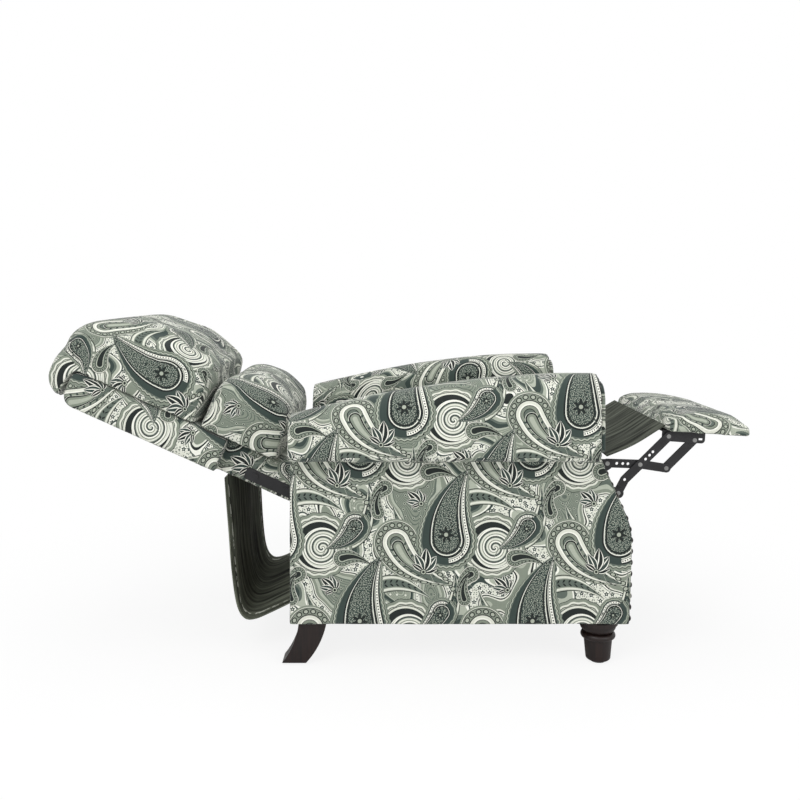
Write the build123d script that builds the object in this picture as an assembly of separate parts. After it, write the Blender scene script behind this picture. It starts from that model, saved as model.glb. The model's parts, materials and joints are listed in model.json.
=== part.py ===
from build123d import *

import os
from math import acos, asin, atan2, cos, degrees, hypot, radians, sin, sqrt, tan

# Sizes in millimetres. X runs from the rear of the arms to the front of the chair, Y across it, Z up.
# The chair is modelled fully reclined. Left is the sitter's left, at +Y.

# Arms
SEAT_WELL = 496.0          # clear width between the arms
ARM_BODY = 82.0            # thickness of an arm below its roll
ROLL_OVERHANG = 45.0       # how far the roll stands out past the side panel
ROLL_LENGTH = 677.0        # rear face of the arm to the front of its roll
KNEE_REACH = 78.6          # furthest point of the arm front, past the roll
TOE_SETBACK = 5.6          # bottom edge of the arm front, behind that
KNEE_Z = 270.0             # height of the furthest point
FRONT_SWEEP = 155.0        # radius of the arm front above the knee
THROAT_REACH = 10.0        # arm front where it meets the roll, past the roll
LEG_HEIGHT = 93.5
ARM_FRONT_TOP = 645.0
ARM_REAR_TOP = 555.0
ARM_LEVEL_FROM = 600.0     # distance from the rear where the arm top runs level
ARM_TOP_POWER = 1.75       # curve of the arm top behind that
ARM_STATIONS = (0.0, 0.27, 0.55, 0.85, 1.2)
ROLL_UNDERSIDE = 457.0
ROLL_CROWN = 58.0          # radius of the roll's top edges
ROLL_LIP = 32.0            # radius of the roll's lower edge
ROLL_CREASE = 7.0          # radius where the roll meets the side panel
INNER_COVER_Z = 400.0      # the inner arm cover ends here, above bare wood
FACING_BULGE = 13.0        # padded front facing, at the roll
FACING_TOE_BULGE = 4.0     # the same at the bottom
FACING_INSET = 17.0        # border left for the nails
NAIL_INSET = 8.5
NAIL_RADIUS = 6.5
NAIL_RISE = 3.2
NAIL_PITCH = 24.3

# Wooden frame of the arms and base
ARM_PANEL = 15.0           # plywood inner side of an arm
ARM_POST = 51.0            # posts and rails between the panel and the outer cover
REAR_FABRIC = 5.0
POST_WIDTH = 45.0
FRONT_POST_SETBACK = 77.0  # front post behind the front of the roll
FRONT_BLOCK_SETBACK = 15.0 # block that takes the front leg, behind the toe
FRONT_BLOCK_TOP = 240.0
FRAME_TOP = 490.0
FRAME_RAIL = 45.0
RUNNER = 19.5              # board that carries the mechanism
RUNNER_LOW = 255.0
RUNNER_HIGH = 352.0
RUNNER_REAR = 25.0
RUNNER_FRONT = 680.0
FRONT_RAIL_SETBACK = 50.0  # front rail behind the toe
FRONT_RAIL = 22.0
FRONT_RAIL_TOP = 244.0
RAIL_PAD = 15.0
RAIL_PAD_ROUNDS = (0.0, 5.0, 7.0, 0.0)
REAR_RAIL_X = 3.0
REAR_RAIL = 22.0
REAR_RAIL_TOP = 205.0
BLOCK_LEG = 60.0           # sides of a triangular corner block
BLOCK_HEIGHT = 55.0

# Legs
FRONT_LEG_SETBACK = 62.0   # middle of the front leg behind the toe
FRONT_LEG_DISC = 44.0      # radii of the turned leg
FRONT_LEG_CUP = 41.0
FRONT_LEG_NECK = 30.0
FRONT_LEG_BEAD = 38.5
FRONT_LEG_BODY = 31.5
FRONT_LEG_FOOT = 27.5
DISC_HEIGHT = 9.0
BEAD_Z = 59.0              # middle of the bead ring
BEAD_HEIGHT = 14.0
REAR_LEG_X = 50.0          # middle of the rear leg's top
REAR_LEG_TOP = 62.0
REAR_LEG_FOOT = 53.0
REAR_LEG_SWEEP = 41.0      # the foot stands this far behind the top
REAR_LEG_BOW = 8.0
REAR_LEG_WIDTH = 54.0
GLIDE_HEIGHT = 4.0
GLIDE_RADIUS = 17.0
LEG_BOLT = 4.0
LEG_BOLT_LENGTH = 70.0

# Steel mechanism: plates side by side, counted inwards from the runner
PLATE = 4.0
PLATE_GAP = 1.0
PIN = 5.0
RUNNING = 0.05             # radial play of a pin in the plate that turns on it
SEAT_TRAVEL = 45.0
SWING_LENGTH = 85.0
SWING_FOOT_Z = 325.0
REAR_SWING_X = 220.0
FRONT_SWING_X = 560.0
SWING_WIDTH = 26.0
TUBE_RADIUS = 10.0
TUBE_BORE = 8.0
BASE_RAIL_HEIGHT = 39.0
BASE_RAIL_FRONT = 664.0
BASE_RAIL_ROUNDS = (6.0, 12.0, 14.0, 14.0, 20.0, 20.0, 14.0, 14.0)
RAIL_BOLT = 4.0
RAIL_BOLT_HEAD = 7.0
RAIL_BOLT_X = (120.0, 390.0, 610.0)
SEAT_RAIL_LOW = 393.0
SEAT_RAIL_TOP = 425.0
SEAT_RAIL_REAR = 150.0
SEAT_RAIL_FRONT = 698.0
SEAT_RAIL_ROUNDS = (15.0, 14.0, 10.0, 10.0, 9.0, 9.0, 6.0, 6.0, 14.0, 14.0, 15.0)
SEAT_FLANGE = 36.0
RISER_WIDTH = 38.0
REAR_ARM_WIDTH = 32.0

# Footrest linkage in its raised place, links named from the seat outwards
HANGER_X = 727.0           # cross link on the seat rail
HANGER_Z = 427.0
CROSS_REAR_X = 76.0        # hanger to the crossing of the two links
CROSS_REAR_Z = -2.5
CROSS_FRONT_X = 62.0       # crossing to the front end of the cross link
CROSS_FRONT_Z = -9.5
LONG_FRONT_X = 66.5        # crossing to the footrest hinge on the long link
LONG_FRONT_Z = 65.5
LONG_REAR_X = -52.0        # crossing to the driven end of the long link
LONG_REAR_Z = -65.0
LONG_BEND_X = -36.0        # crossing to the bend in the long link
LONG_BEND_Z = -35.0
DRIVE_X = 642.0            # drive link on the base rail
DRIVE_Z = 379.0
DRIVE_PLAY = 1.4           # radial play of the drive link's rear hole, which takes up the arc
LINK_WIDTH = 20.0
DRIVE_WIDTH = 24.0
LIGHTENING = 3.5           # radius of the spare holes in the links
LONG_HOLES = (18.0, 31.0, 42.0)
CROSS_HOLES = (23.0, 37.0, 49.0)
FOOT_FOLD = 86.0           # turn of the cross link and footrest, degrees
LONG_TURN = 25.0           # turn of the long link the other way, degrees

# Footrest, along and square to its own slope, from the footrest hinge
FOOT_SLOPE = 3.9           # degrees down towards the toes
FOOT_REAR = -14.0
FOOT_FRONT = 187.0
FOOT_SEAT = 14.0           # hinge to the underside of the board
FOOT_BOARD = 12.0
FOOT_EDGE = 35.0           # thickness of the padded edge
FOOT_CROWN = 44.0
FOOT_TOE_FALL = 5.0        # the toe edge is this much thinner
FOOT_ROUNDS = (6.0, 14.0, 400.0, 14.0, 6.0)
FOOT_WIDTH = 480.0
BOARD_MARGIN = 12.0
FOOT_BRACKET_END = 86.0
FOOT_BRACKET_DROP = 12.0
FOOT_BRACKET_ROUNDS = (11.0, 9.0, 0.0, 0.0)
FOOT_FLANGE = 38.0
SCREW = 2.5
SCREW_HEAD = 4.5
SCREW_RISE = 2.4
SCREW_PITCH = 34.0

# Seat
SEAT_GAP = 3.5             # cushion to each arm
SEAT_REAR = 122.0
SEAT_FRONT = 720.0
SEAT_REAR_TOP = 468.0
SEAT_FRONT_TOP = 506.0
SEAT_CROWN = 20.0
SEAT_ROUNDS = (8.0, 18.0, 700.0, 60.0, 26.0, 8.0)
SEAT_FRAME_DEPTH = 36.0
SEAT_BOARD = 52.0
SEAT_FRAME_REAR = 130.0
SEAT_FRAME_FRONT = 690.0
SEAT_NOTCH_Z = 442.0       # underside of the cushion's nose, over the hangers
WEB = 2.0
WEB_WIDTH = 50.0
SEAT_WEB_ROWS = 5
SEAT_WEB_LANES = 4

# Back, along its length from its pivot and square to it
BACK_PIVOT_X = 81.0
BACK_PIVOT_Z = 318.0
BACK_SLOPE = 24.2          # outside of the reclined back above the level, degrees
RECLINE = 55.8             # travel of the back, degrees
BACK_OUTSIDE = -23.0
BACK_FACE = 56.5
BACK_FOOT = -25.0
BACK_HEAD = 672.0
BACK_SHOULDER = 280.0      # above this the back is wider
BACK_GAP = 4.5             # wide part to each arm
BACK_HEAD_ROUND = 30.0
BACK_PADDING = 26.5        # cover outside the frame
SIDE_PADDING = 14.5
STILE = 34.0
BACK_RAIL = 45.0
BACK_BOARD = 38.0
BACK_RAIL_AT = (-20.0, 300.0, 610.0)
BACK_WEB_ROWS = 6
BACK_ARM_LENGTH = 215.0
BACK_ARM_WIDTH = 28.0
GUIDE_WIDTH = 26.0
GUIDE_PLAY = 0.6
BACK_BOLT_AT = (110.0, 190.0)
BACK_BOLT = 4.0
BACK_BOLT_HEAD = 8.0
BACK_BOLT_RISE = 2.6
BACK_BOLT_LENGTH = 36.0
PILLOW_SEAM = 360.0        # the lumbar pillow meets the head pillow here
PILLOW_GAP = 1.0
HEAD_LIP = 56.0            # head pillow past the end of the back
HEAD_LOW = 2.0             # lower edge of that lip
HEAD_NECK = 206.0
HEAD_CREST = 232.0
HEAD_BROW = 218.0
HEAD_END = 150.0
HEAD_CREST_AT = 0.31       # shares of the head pillow's length
HEAD_BROW_AT = 0.69
HEAD_ROUNDS = (6.0, 35.0, 120.0, 120.0, 60.0, 22.0)
LUMBAR_FOOT = 155.0
LUMBAR_LOW = 148.0
LUMBAR_SHOULDER = 194.0
LUMBAR_CREST = 216.0
LUMBAR_NECK = 190.0
LUMBAR_FALL = 4.0          # from the crest towards the neck
LUMBAR_AT = (0.11, 0.44, 0.8)
LUMBAR_ROUNDS = (8.0, 30.0, 40.0, 90.0, 60.0, 28.0, 6.0)

# Cushions
CUSHION_WAIST = 0.06       # share by which a cushion's sides draw in along its length
CUSHION_FALL = 0.2         # and in height
CUSHION_WAIST_POWER = 8    # the higher, the nearer to the side it draws in
CUSHION_FALL_POWER = 6
CUSHION_STATIONS = (1.0, 0.94, 0.84, 0.6, 0.0, -0.6, -0.84, -0.94, -1.0)

# Cloth
CLOTH = 3.0
SKIRT_WIDTH = 490.0
SKIRT_AT = 251.0           # top of the skirt, along the back
SKIRT_FALL_X = -143.0
SKIRT_FALL_Z = 190.0
SKIRT_TOE_X = -120.0
SKIRT_TOE_Z = 58.0
SKIRT_TOE_ROUND = 36.0
SKIRT_END_Z = 118.0
FLAP = 8.0
FLAP_WIDTH = 470.0
FLAP_LOW_Z = 449.0
FLAP_SAG = 4.0
CLOTH_BEND = 300.0         # radius of a slack sheet
SEATING = 0.3              # soft piece to what it is sewn or stapled on

# Places worked out from the sizes
HALF_WELL = SEAT_WELL / 2
ARM_REACH = ROLL_LENGTH + KNEE_REACH
ARM_TOE = ARM_REACH - TOE_SETBACK
FRONT_POST_X = ROLL_LENGTH - FRONT_POST_SETBACK
FRONT_BLOCK_END = ARM_TOE - FRONT_BLOCK_SETBACK
FRONT_RAIL_X = ARM_TOE - FRONT_RAIL_SETBACK
FRONT_LEG_X = ARM_TOE - FRONT_LEG_SETBACK
PANEL_OUTER = HALF_WELL + ARM_PANEL
POST_OUTER = PANEL_OUTER + ARM_POST
ARM_OUTER = HALF_WELL + ARM_BODY
ROLL_OUTER = ARM_OUTER + ROLL_OVERHANG
ARM_MIDDLE = HALF_WELL + ARM_BODY / 2
RUNNER_FACE = HALF_WELL - RUNNER
SWING_LEAN = asin(SEAT_TRAVEL / 2 / SWING_LENGTH)
SWING_TOP_Z = SWING_FOOT_Z + SWING_LENGTH * cos(SWING_LEAN)
HANGER = (HANGER_X, HANGER_Z)
CROSSING = (HANGER_X + CROSS_REAR_X, HANGER_Z + CROSS_REAR_Z)
CROSS_END = (CROSSING[0] + CROSS_FRONT_X, CROSSING[1] + CROSS_FRONT_Z)
FOOT_HINGE = (CROSSING[0] + LONG_FRONT_X, CROSSING[1] + LONG_FRONT_Z)
SHORT_END = (FOOT_HINGE[0] + CROSS_FRONT_X, FOOT_HINGE[1] + CROSS_FRONT_Z)
LONG_END = (CROSSING[0] + LONG_REAR_X, CROSSING[1] + LONG_REAR_Z)
LONG_BEND = (CROSSING[0] + LONG_BEND_X, CROSSING[1] + LONG_BEND_Z)
DRIVE = (DRIVE_X, DRIVE_Z)
BACK_PIVOT = (BACK_PIVOT_X, BACK_PIVOT_Z)
GUIDE_RADIUS = SEAT_TRAVEL / 2 / sin(radians(RECLINE / 2))
GUIDE_TURN = radians(BACK_SLOPE + RECLINE / 2)
GUIDE = (GUIDE_RADIUS * sin(GUIDE_TURN), GUIDE_RADIUS * cos(GUIDE_TURN))
BACK_HALF = HALF_WELL - BACK_GAP
THROAT_X = ROLL_LENGTH + THROAT_REACH
THROAT_FROM = (THROAT_X - ARM_REACH + FRONT_SWEEP, ROLL_UNDERSIDE - KNEE_Z)
FRONT_LEAN = degrees(atan2(THROAT_FROM[1], THROAT_FROM[0]) - acos(FRONT_SWEEP / hypot(*THROAT_FROM)))
KNEE_TOP_Z = KNEE_Z + FRONT_SWEEP * sin(radians(FRONT_LEAN))
KNEE_TOP_X = ARM_REACH - FRONT_SWEEP * (1 - cos(radians(FRONT_LEAN)))
SQUARE = (0, 0, 0, 0)      # a board with no rounded corner


def layer(number):
    """Inner face of a steel plate: 0 base rail, 1 swings, 2 seat rail, 3 cross links, 4 short links."""
    return RUNNER_FACE - PLATE - number * (PLATE + PLATE_GAP)


def back_point(along, square, y=0.0):
    """A point of the back, from its length along the back and its height square to it."""
    tilt = radians(BACK_SLOPE)
    x = BACK_PIVOT_X - along * cos(tilt) + square * sin(tilt)
    return (x, y, BACK_PIVOT_Z + along * sin(tilt) + square * cos(tilt))


def foot_point(along, square, y=0.0):
    """A point of the footrest, from its hinge along its slope and square to it."""
    tilt = radians(FOOT_SLOPE)
    x = FOOT_HINGE[0] + along * cos(tilt) + square * sin(tilt)
    return (x, y, FOOT_HINGE[1] - along * sin(tilt) + square * cos(tilt))


def side_point(x, z, y=0.0):
    """A point of a side view."""
    return (x, y, z)


def corner(before, here, after, radius):
    """Start, middle and end of the arc that rounds a corner, no larger than its sides allow."""
    a = (before[0] - here[0], before[1] - here[1])
    b = (after[0] - here[0], after[1] - here[1])
    reach_a = hypot(*a)
    reach_b = hypot(*b)
    a = (a[0] / reach_a, a[1] / reach_a)
    b = (b[0] / reach_b, b[1] / reach_b)
    half = atan2(abs(a[0] * b[1] - a[1] * b[0]), a[0] * b[0] + a[1] * b[1]) / 2
    cut = min(radius / tan(half), 0.49 * min(reach_a, reach_b))
    middle = (a[0] + b[0], a[1] + b[1])
    size = hypot(*middle)
    depth = cut * tan(half) * (1 / sin(half) - 1)
    return (
        (here[0] + a[0] * cut, here[1] + a[1] * cut),
        (here[0] + middle[0] / size * depth, here[1] + middle[1] / size * depth),
        (here[0] + b[0] * cut, here[1] + b[1] * cut),
    )


def outline(points, radii, place):
    """A closed wire through the points, each corner rounded to its radius."""
    count = len(points)
    stops = []
    for i, radius in enumerate(radii):
        here = points[i]
        if radius:
            stops.append(corner(points[i - 1], here, points[(i + 1) % count], radius))
        else:
            stops.append((here,))
    edges = []
    for i, stop in enumerate(stops):
        if len(stop) == 3:
            edges.append(Edge.make_three_point_arc(*(place(*p) for p in stop)))
        edges.append(Edge.make_line(place(*stop[-1]), place(*stops[(i + 1) % count][0])))
    return Wire(edges)


def across(points, radii, y0, y1, place=side_point):
    """A side-view outline carried across the chair from y0 to y1."""
    face = Face(outline(points, radii, lambda a, b: place(a, b, y0)))
    return extrude(face, amount=y1 - y0, dir=(0, 1, 0))


def block(x0, x1, y0, y1, z0, z1):
    """A board between two corners."""
    return across([(x0, z0), (x1, z0), (x1, z1), (x0, z1)], SQUARE, y0, y1)


def pin(centre, y0, y1, radius, place=side_point):
    """A round bar across the chair."""
    x, _, z = place(*centre)
    return Pos(x, (y0 + y1) / 2, z) * Rot(90, 0, 0) * Cylinder(radius, abs(y1 - y0))


def bar(path, width, number, holes):
    """A flat steel link with round ends along a path, in one of the plate layers."""
    y = layer(number)
    plate = Part()
    for start, end in zip(path, path[1:]):
        run = (end[0] - start[0], end[1] - start[1])
        middle = (start[0] + run[0] / 2, start[1] + run[1] / 2)
        slot = SlotCenterToCenter(hypot(*run), width, rotation=degrees(atan2(run[1], run[0])))
        place = Plane.XZ.offset(-y) * Pos(*middle)
        plate += extrude(place * slot, amount=PLATE, dir=(0, 1, 0))
    for centre, radius in holes:
        plate -= pin(centre, y, y + PLATE, radius)
    return plate


def padded(points, radii, half_width, centre, base, place):
    """A cushion: its side profile at full size in the middle, drawn in towards its two sides."""
    sections = []
    for share in CUSHION_STATIONS:
        along = 1 - CUSHION_WAIST * abs(share) ** CUSHION_WAIST_POWER
        up = 1 - CUSHION_FALL * abs(share) ** CUSHION_FALL_POWER
        drawn = [(centre + (a - centre) * along, base + (b - base) * up) for a, b in points]
        y = share * half_width
        sections.append(Face(outline(drawn, radii, lambda a, b, y=y: place(a, b, y))))
    return loft(sections)


def strip(path, radii, thickness):
    """Outline points and radii of a sheet of even thickness along a path."""
    sides = ([], [])
    for i, here in enumerate(path):
        before = path[max(i - 1, 0)]
        after = path[min(i + 1, len(path) - 1)]
        into = atan2(here[1] - before[1], here[0] - before[0])
        out = atan2(after[1] - here[1], after[0] - here[0])
        if i == 0:
            into = out
        if i == len(path) - 1:
            out = into
        turn = (out - into) / 2
        reach = thickness / 2 / cos(turn)
        way = into + turn
        for side, sign in zip(sides, (1, -1)):
            point = (here[0] - sign * reach * sin(way), here[1] + sign * reach * cos(way))
            bend = radii[i] - sign * (thickness / 2 if turn > 0 else -thickness / 2)
            side.append((point, bend if radii[i] else 0))
    whole = sides[0] + sides[1][::-1]
    return [point for point, _ in whole], [bend for _, bend in whole]


def arm_top(x):
    """Height of the arm's top, falling towards the rear."""
    share = max(0.0, 1 - x / ARM_LEVEL_FROM)
    return ARM_FRONT_TOP - (ARM_FRONT_TOP - ARM_REAR_TOP) * share ** ARM_TOP_POWER


def arm_front(z):
    """Place of the arm's front at a height, and its lean there in degrees."""
    if z >= ROLL_UNDERSIDE:
        return ROLL_LENGTH, 0.0
    if z >= KNEE_TOP_Z:
        return KNEE_TOP_X - (z - KNEE_TOP_Z) * tan(radians(FRONT_LEAN)), FRONT_LEAN
    if z >= KNEE_Z:
        rise = z - KNEE_Z
        x = ARM_REACH - FRONT_SWEEP + sqrt(FRONT_SWEEP ** 2 - rise ** 2)
        return x, degrees(asin(rise / FRONT_SWEEP))
    slope = (ARM_REACH - ARM_TOE) / (KNEE_Z - LEG_HEIGHT)
    return ARM_REACH - (KNEE_Z - z) * slope, -degrees(atan2(slope, 1))


def arm_section(top, inset=0.0):
    """Corner points and radii of an arm seen from the front, from outer foot to inner foot."""
    points = [
        (ARM_OUTER - inset, LEG_HEIGHT),
        (ARM_OUTER - inset, ROLL_UNDERSIDE + inset),
        (ROLL_OUTER - inset, ROLL_UNDERSIDE + inset),
        (ROLL_OUTER - inset, top - inset),
        (HALF_WELL + inset, top - inset),
        (HALF_WELL + inset, LEG_HEIGHT),
    ]
    radii = [0, ROLL_CREASE + inset, ROLL_LIP - inset, ROLL_CROWN - inset, ROLL_CROWN - inset, 0]
    return points, radii


def arm_profile(bulge, toe_bulge, y0, y1):
    """The side view of an arm, its front moved out by a bulge, carried across from y0 to y1."""
    half_lean = radians(FRONT_LEAN) / 2
    middle = (ARM_REACH - FRONT_SWEEP * (1 - cos(half_lean)), KNEE_Z + FRONT_SWEEP * sin(half_lean))
    stops = [
        (0, LEG_HEIGHT),
        (ARM_TOE + toe_bulge, LEG_HEIGHT),
        (ARM_REACH + toe_bulge, KNEE_Z),
        (KNEE_TOP_X + toe_bulge, KNEE_TOP_Z),
        (THROAT_X + toe_bulge, ROLL_UNDERSIDE),
        (ROLL_LENGTH + bulge, ROLL_UNDERSIDE),
        (ROLL_LENGTH + bulge, ARM_FRONT_TOP),
        (0, ARM_FRONT_TOP),
    ]
    edges = []
    for i, stop in enumerate(stops):
        start = (stop[0], y0, stop[1])
        end = (stops[(i + 1) % len(stops)][0], y0, stops[(i + 1) % len(stops)][1])
        if i == 2:
            edges.append(Edge.make_three_point_arc(start, (middle[0] + toe_bulge, y0, middle[1]), end))
        elif start != end:
            edges.append(Edge.make_line(start, end))
    return extrude(Face(Wire(edges)), amount=y1 - y0, dir=(0, 1, 0))


def arm_cover():
    """Upholstered arm: a roll that falls to the rear over a swept panel, hollow for its frame."""
    sections = []
    for share in ARM_STATIONS:
        x = share * ARM_LEVEL_FROM
        points, radii = arm_section(arm_top(x))
        reach = max(x, ARM_REACH + FACING_BULGE) if share == ARM_STATIONS[-1] else x
        sections.append(Face(outline(points, radii, lambda a, b, x=reach: (x, a, b))))
    body = loft(sections) & arm_profile(0.0, 0.0, HALF_WELL - 1, ROLL_OUTER + 1)
    body -= block(REAR_FABRIC, FRONT_POST_X + POST_WIDTH, PANEL_OUTER, POST_OUTER, LEG_HEIGHT, FRAME_TOP)
    body -= block(FRONT_POST_X, FRONT_BLOCK_END, PANEL_OUTER, POST_OUTER, LEG_HEIGHT, FRONT_BLOCK_TOP)
    return body - block(-1, ARM_REACH + 1, HALF_WELL - 1, PANEL_OUTER, LEG_HEIGHT - 1, INNER_COVER_Z)


def leg_places():
    """Front and rear leg bolt places on one side."""
    return ((FRONT_LEG_X, ARM_MIDDLE), (REAR_LEG_X, ARM_MIDDLE))


def leg_bolt(place):
    """A bolt from the leg up into the frame."""
    return Pos(place[0], place[1], LEG_HEIGHT) * Cylinder(LEG_BOLT, LEG_BOLT_LENGTH)


def arm_frame():
    """Boards inside an arm: inner panel, posts, rails, leg block and the runner for the mechanism."""
    post_end = FRONT_POST_X + POST_WIDTH
    rear_post_end = REAR_FABRIC + POST_WIDTH
    rail_low = LEG_HEIGHT + FRAME_RAIL
    span = (PANEL_OUTER, POST_OUTER)
    boards = [
        block(REAR_FABRIC, ARM_TOE - REAR_FABRIC, HALF_WELL, PANEL_OUTER, LEG_HEIGHT, FRONT_BLOCK_TOP),
        block(REAR_FABRIC, post_end, HALF_WELL, PANEL_OUTER, FRONT_BLOCK_TOP, INNER_COVER_Z),
        block(REAR_FABRIC, rear_post_end, *span, rail_low, FRAME_TOP),
        block(REAR_FABRIC, FRONT_POST_X, *span, LEG_HEIGHT, rail_low),
        block(rear_post_end, FRONT_POST_X, *span, FRAME_TOP - FRAME_RAIL, FRAME_TOP),
        block(FRONT_POST_X, post_end, *span, FRONT_BLOCK_TOP, FRAME_TOP),
        block(FRONT_POST_X, FRONT_BLOCK_END, *span, LEG_HEIGHT, FRONT_BLOCK_TOP),
        block(RUNNER_REAR, RUNNER_FRONT, RUNNER_FACE, HALF_WELL, RUNNER_LOW, RUNNER_HIGH),
    ]
    cuts = [leg_bolt(place) for place in leg_places()]
    cuts += [pin((x, SWING_FOOT_Z), RUNNER_FACE, HALF_WELL, RAIL_BOLT) for x in RAIL_BOLT_X]
    return [cut_all(board, cuts) for board in boards]


def cut_all(piece, cuts):
    """The piece less each cut whose box it meets."""
    for cut in cuts:
        a = piece.bounding_box()
        b = cut.bounding_box()
        below = all(low < high for low, high in zip(a.min, b.max))
        above = all(low < high for low, high in zip(b.min, a.max))
        if below and above:
            piece = piece - cut
    return piece


def arm_facing():
    """Padded panel on the arm's front, inside the row of nails."""
    points, radii = arm_section(ARM_FRONT_TOP, FACING_INSET)
    radii[0] = radii[-1] = FACING_INSET
    low = [(y, max(z, LEG_HEIGHT + FACING_INSET)) for y, z in points]
    face = Face(outline(low, radii, lambda a, b: (0, a, b)))
    panel = extrude(face, amount=ARM_REACH + 2 * FACING_BULGE, dir=(1, 0, 0))
    reach = (HALF_WELL - 1, ROLL_OUTER + 1)
    return panel & (arm_profile(FACING_BULGE, FACING_TOE_BULGE, *reach) - arm_profile(0.0, 0.0, *reach))


def nailheads():
    """Domed nails along the border of the arm's front, bottom to bottom."""
    points, radii = arm_section(ARM_FRONT_TOP, NAIL_INSET)
    wire = outline(points, radii, lambda a, b: (0, a, b))
    run = Wire([edge for edge in wire.edges() if edge.center().Z > LEG_HEIGHT + 1])
    count = int(run.length // NAIL_PITCH)
    dome = (NAIL_RADIUS ** 2 + NAIL_RISE ** 2) / (2 * NAIL_RISE)
    head = Pos(0, 0, NAIL_RISE - dome) * Sphere(dome) & Pos(0, 0, dome) * Box(4 * dome, 4 * dome, 2 * dome)
    nails = []
    for i in range(count):
        spot = run.position_at((i + 0.5) / count)
        x, lean = arm_front(spot.Z)
        edge_room = abs(spot.Z - ROLL_UNDERSIDE)
        if edge_room > NAIL_RADIUS:
            nails.append(Pos(x, spot.Y, spot.Z) * Rot(0, 90 - lean, 0) * head)
    return nails


def front_leg():
    """Turned front leg: rounded foot, tapered body, bead ring, cup and top disc."""
    neck_low = BEAD_Z + BEAD_HEIGHT / 2
    body_top = BEAD_Z - BEAD_HEIGHT / 2
    cup_top = LEG_HEIGHT - DISC_HEIGHT
    foot_round = FRONT_LEG_FOOT / 5
    edges = [
        Edge.make_line((0, 0, GLIDE_HEIGHT), (FRONT_LEG_FOOT - foot_round, 0, GLIDE_HEIGHT)),
        Edge.make_three_point_arc(
            (FRONT_LEG_FOOT - foot_round, 0, GLIDE_HEIGHT),
            (FRONT_LEG_FOOT - foot_round * 0.3, 0, GLIDE_HEIGHT + foot_round * 0.3),
            (FRONT_LEG_FOOT, 0, GLIDE_HEIGHT + foot_round),
        ),
        Edge.make_line((FRONT_LEG_FOOT, 0, GLIDE_HEIGHT + foot_round), (FRONT_LEG_BODY, 0, body_top)),
        Edge.make_three_point_arc(
            (FRONT_LEG_BODY, 0, body_top), (FRONT_LEG_BEAD, 0, BEAD_Z), (FRONT_LEG_NECK, 0, neck_low)
        ),
        Edge.make_three_point_arc(
            (FRONT_LEG_NECK, 0, neck_low),
            ((FRONT_LEG_NECK + FRONT_LEG_CUP) / 2 + 2, 0, (neck_low + cup_top) / 2 - 2),
            (FRONT_LEG_CUP, 0, cup_top),
        ),
        Edge.make_line((FRONT_LEG_CUP, 0, cup_top), (FRONT_LEG_DISC, 0, cup_top)),
        Edge.make_line((FRONT_LEG_DISC, 0, cup_top), (FRONT_LEG_DISC, 0, LEG_HEIGHT)),
        Edge.make_line((FRONT_LEG_DISC, 0, LEG_HEIGHT), (0, 0, LEG_HEIGHT)),
        Edge.make_line((0, 0, LEG_HEIGHT), (0, 0, GLIDE_HEIGHT)),
    ]
    turned = revolve(Face(Wire(edges)), axis=Axis.Z)
    return Pos(FRONT_LEG_X, ARM_MIDDLE, 0) * turned - leg_bolt(leg_places()[0])


def rear_leg():
    """Swept rear leg, square in section, bowed towards the rear."""
    foot = REAR_LEG_X - REAR_LEG_SWEEP
    middle = (REAR_LEG_X + foot) / 2 + REAR_LEG_BOW
    waist = (REAR_LEG_TOP + REAR_LEG_FOOT) / 2
    mid_z = (LEG_HEIGHT + GLIDE_HEIGHT) / 2
    y = ARM_MIDDLE - REAR_LEG_WIDTH / 2
    low = GLIDE_HEIGHT
    rear_top = (REAR_LEG_X - REAR_LEG_TOP / 2, y, LEG_HEIGHT)
    front_top = (REAR_LEG_X + REAR_LEG_TOP / 2, y, LEG_HEIGHT)
    rear_low = (foot - REAR_LEG_FOOT / 2, y, low)
    front_low = (foot + REAR_LEG_FOOT / 2, y, low)
    edges = [
        Edge.make_line(rear_low, front_low),
        Edge.make_three_point_arc(front_low, (middle + waist / 2, y, mid_z), front_top),
        Edge.make_line(front_top, rear_top),
        Edge.make_three_point_arc(rear_top, (middle - waist / 2, y, mid_z), rear_low),
    ]
    leg = extrude(Face(Wire(edges)), amount=REAR_LEG_WIDTH, dir=(0, 1, 0))
    return leg - leg_bolt(leg_places()[1])


def glides():
    """Floor glides under the two legs of one side."""
    spots = ((FRONT_LEG_X, ARM_MIDDLE), (REAR_LEG_X - REAR_LEG_SWEEP, ARM_MIDDLE))
    return [Pos(x, y, GLIDE_HEIGHT / 2) * Cylinder(GLIDE_RADIUS, GLIDE_HEIGHT) for x, y in spots]


def corner_blocks():
    """Triangular blocks in the two base corners of one side."""
    rear = REAR_RAIL_X + REAR_RAIL
    blocks = []
    for x, way in ((rear, 1), (FRONT_RAIL_X, -1)):
        foot = LEG_HEIGHT + RAIL_PAD
        spots = [(x, HALF_WELL), (x + way * BLOCK_LEG, HALF_WELL), (x, HALF_WELL - BLOCK_LEG)]
        face = Face(Wire.make_polygon([(a, b, foot) for a, b in spots]))
        blocks.append(extrude(face, amount=BLOCK_HEIGHT, dir=(0, 0, 1)))
    return blocks


def guide_slot():
    """Upright slot in the base rail for the pin that steers the back."""
    low = BACK_PIVOT_Z + GUIDE_RADIUS * cos(radians(RECLINE / 2))
    lift = SWING_LENGTH * (1 - cos(SWING_LEAN))
    high = BACK_PIVOT_Z + lift + GUIDE_RADIUS
    x = BACK_PIVOT_X - SEAT_TRAVEL / 2
    wide = PIN + GUIDE_PLAY
    ends = (low - wide, high + wide)
    points = [(x - wide, ends[0]), (x + wide, ends[0]), (x + wide, ends[1]), (x - wide, ends[1])]
    y = layer(0)
    return across(points, [wide * 0.98] * 4, y, y + PLATE), (x, low, high)


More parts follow.
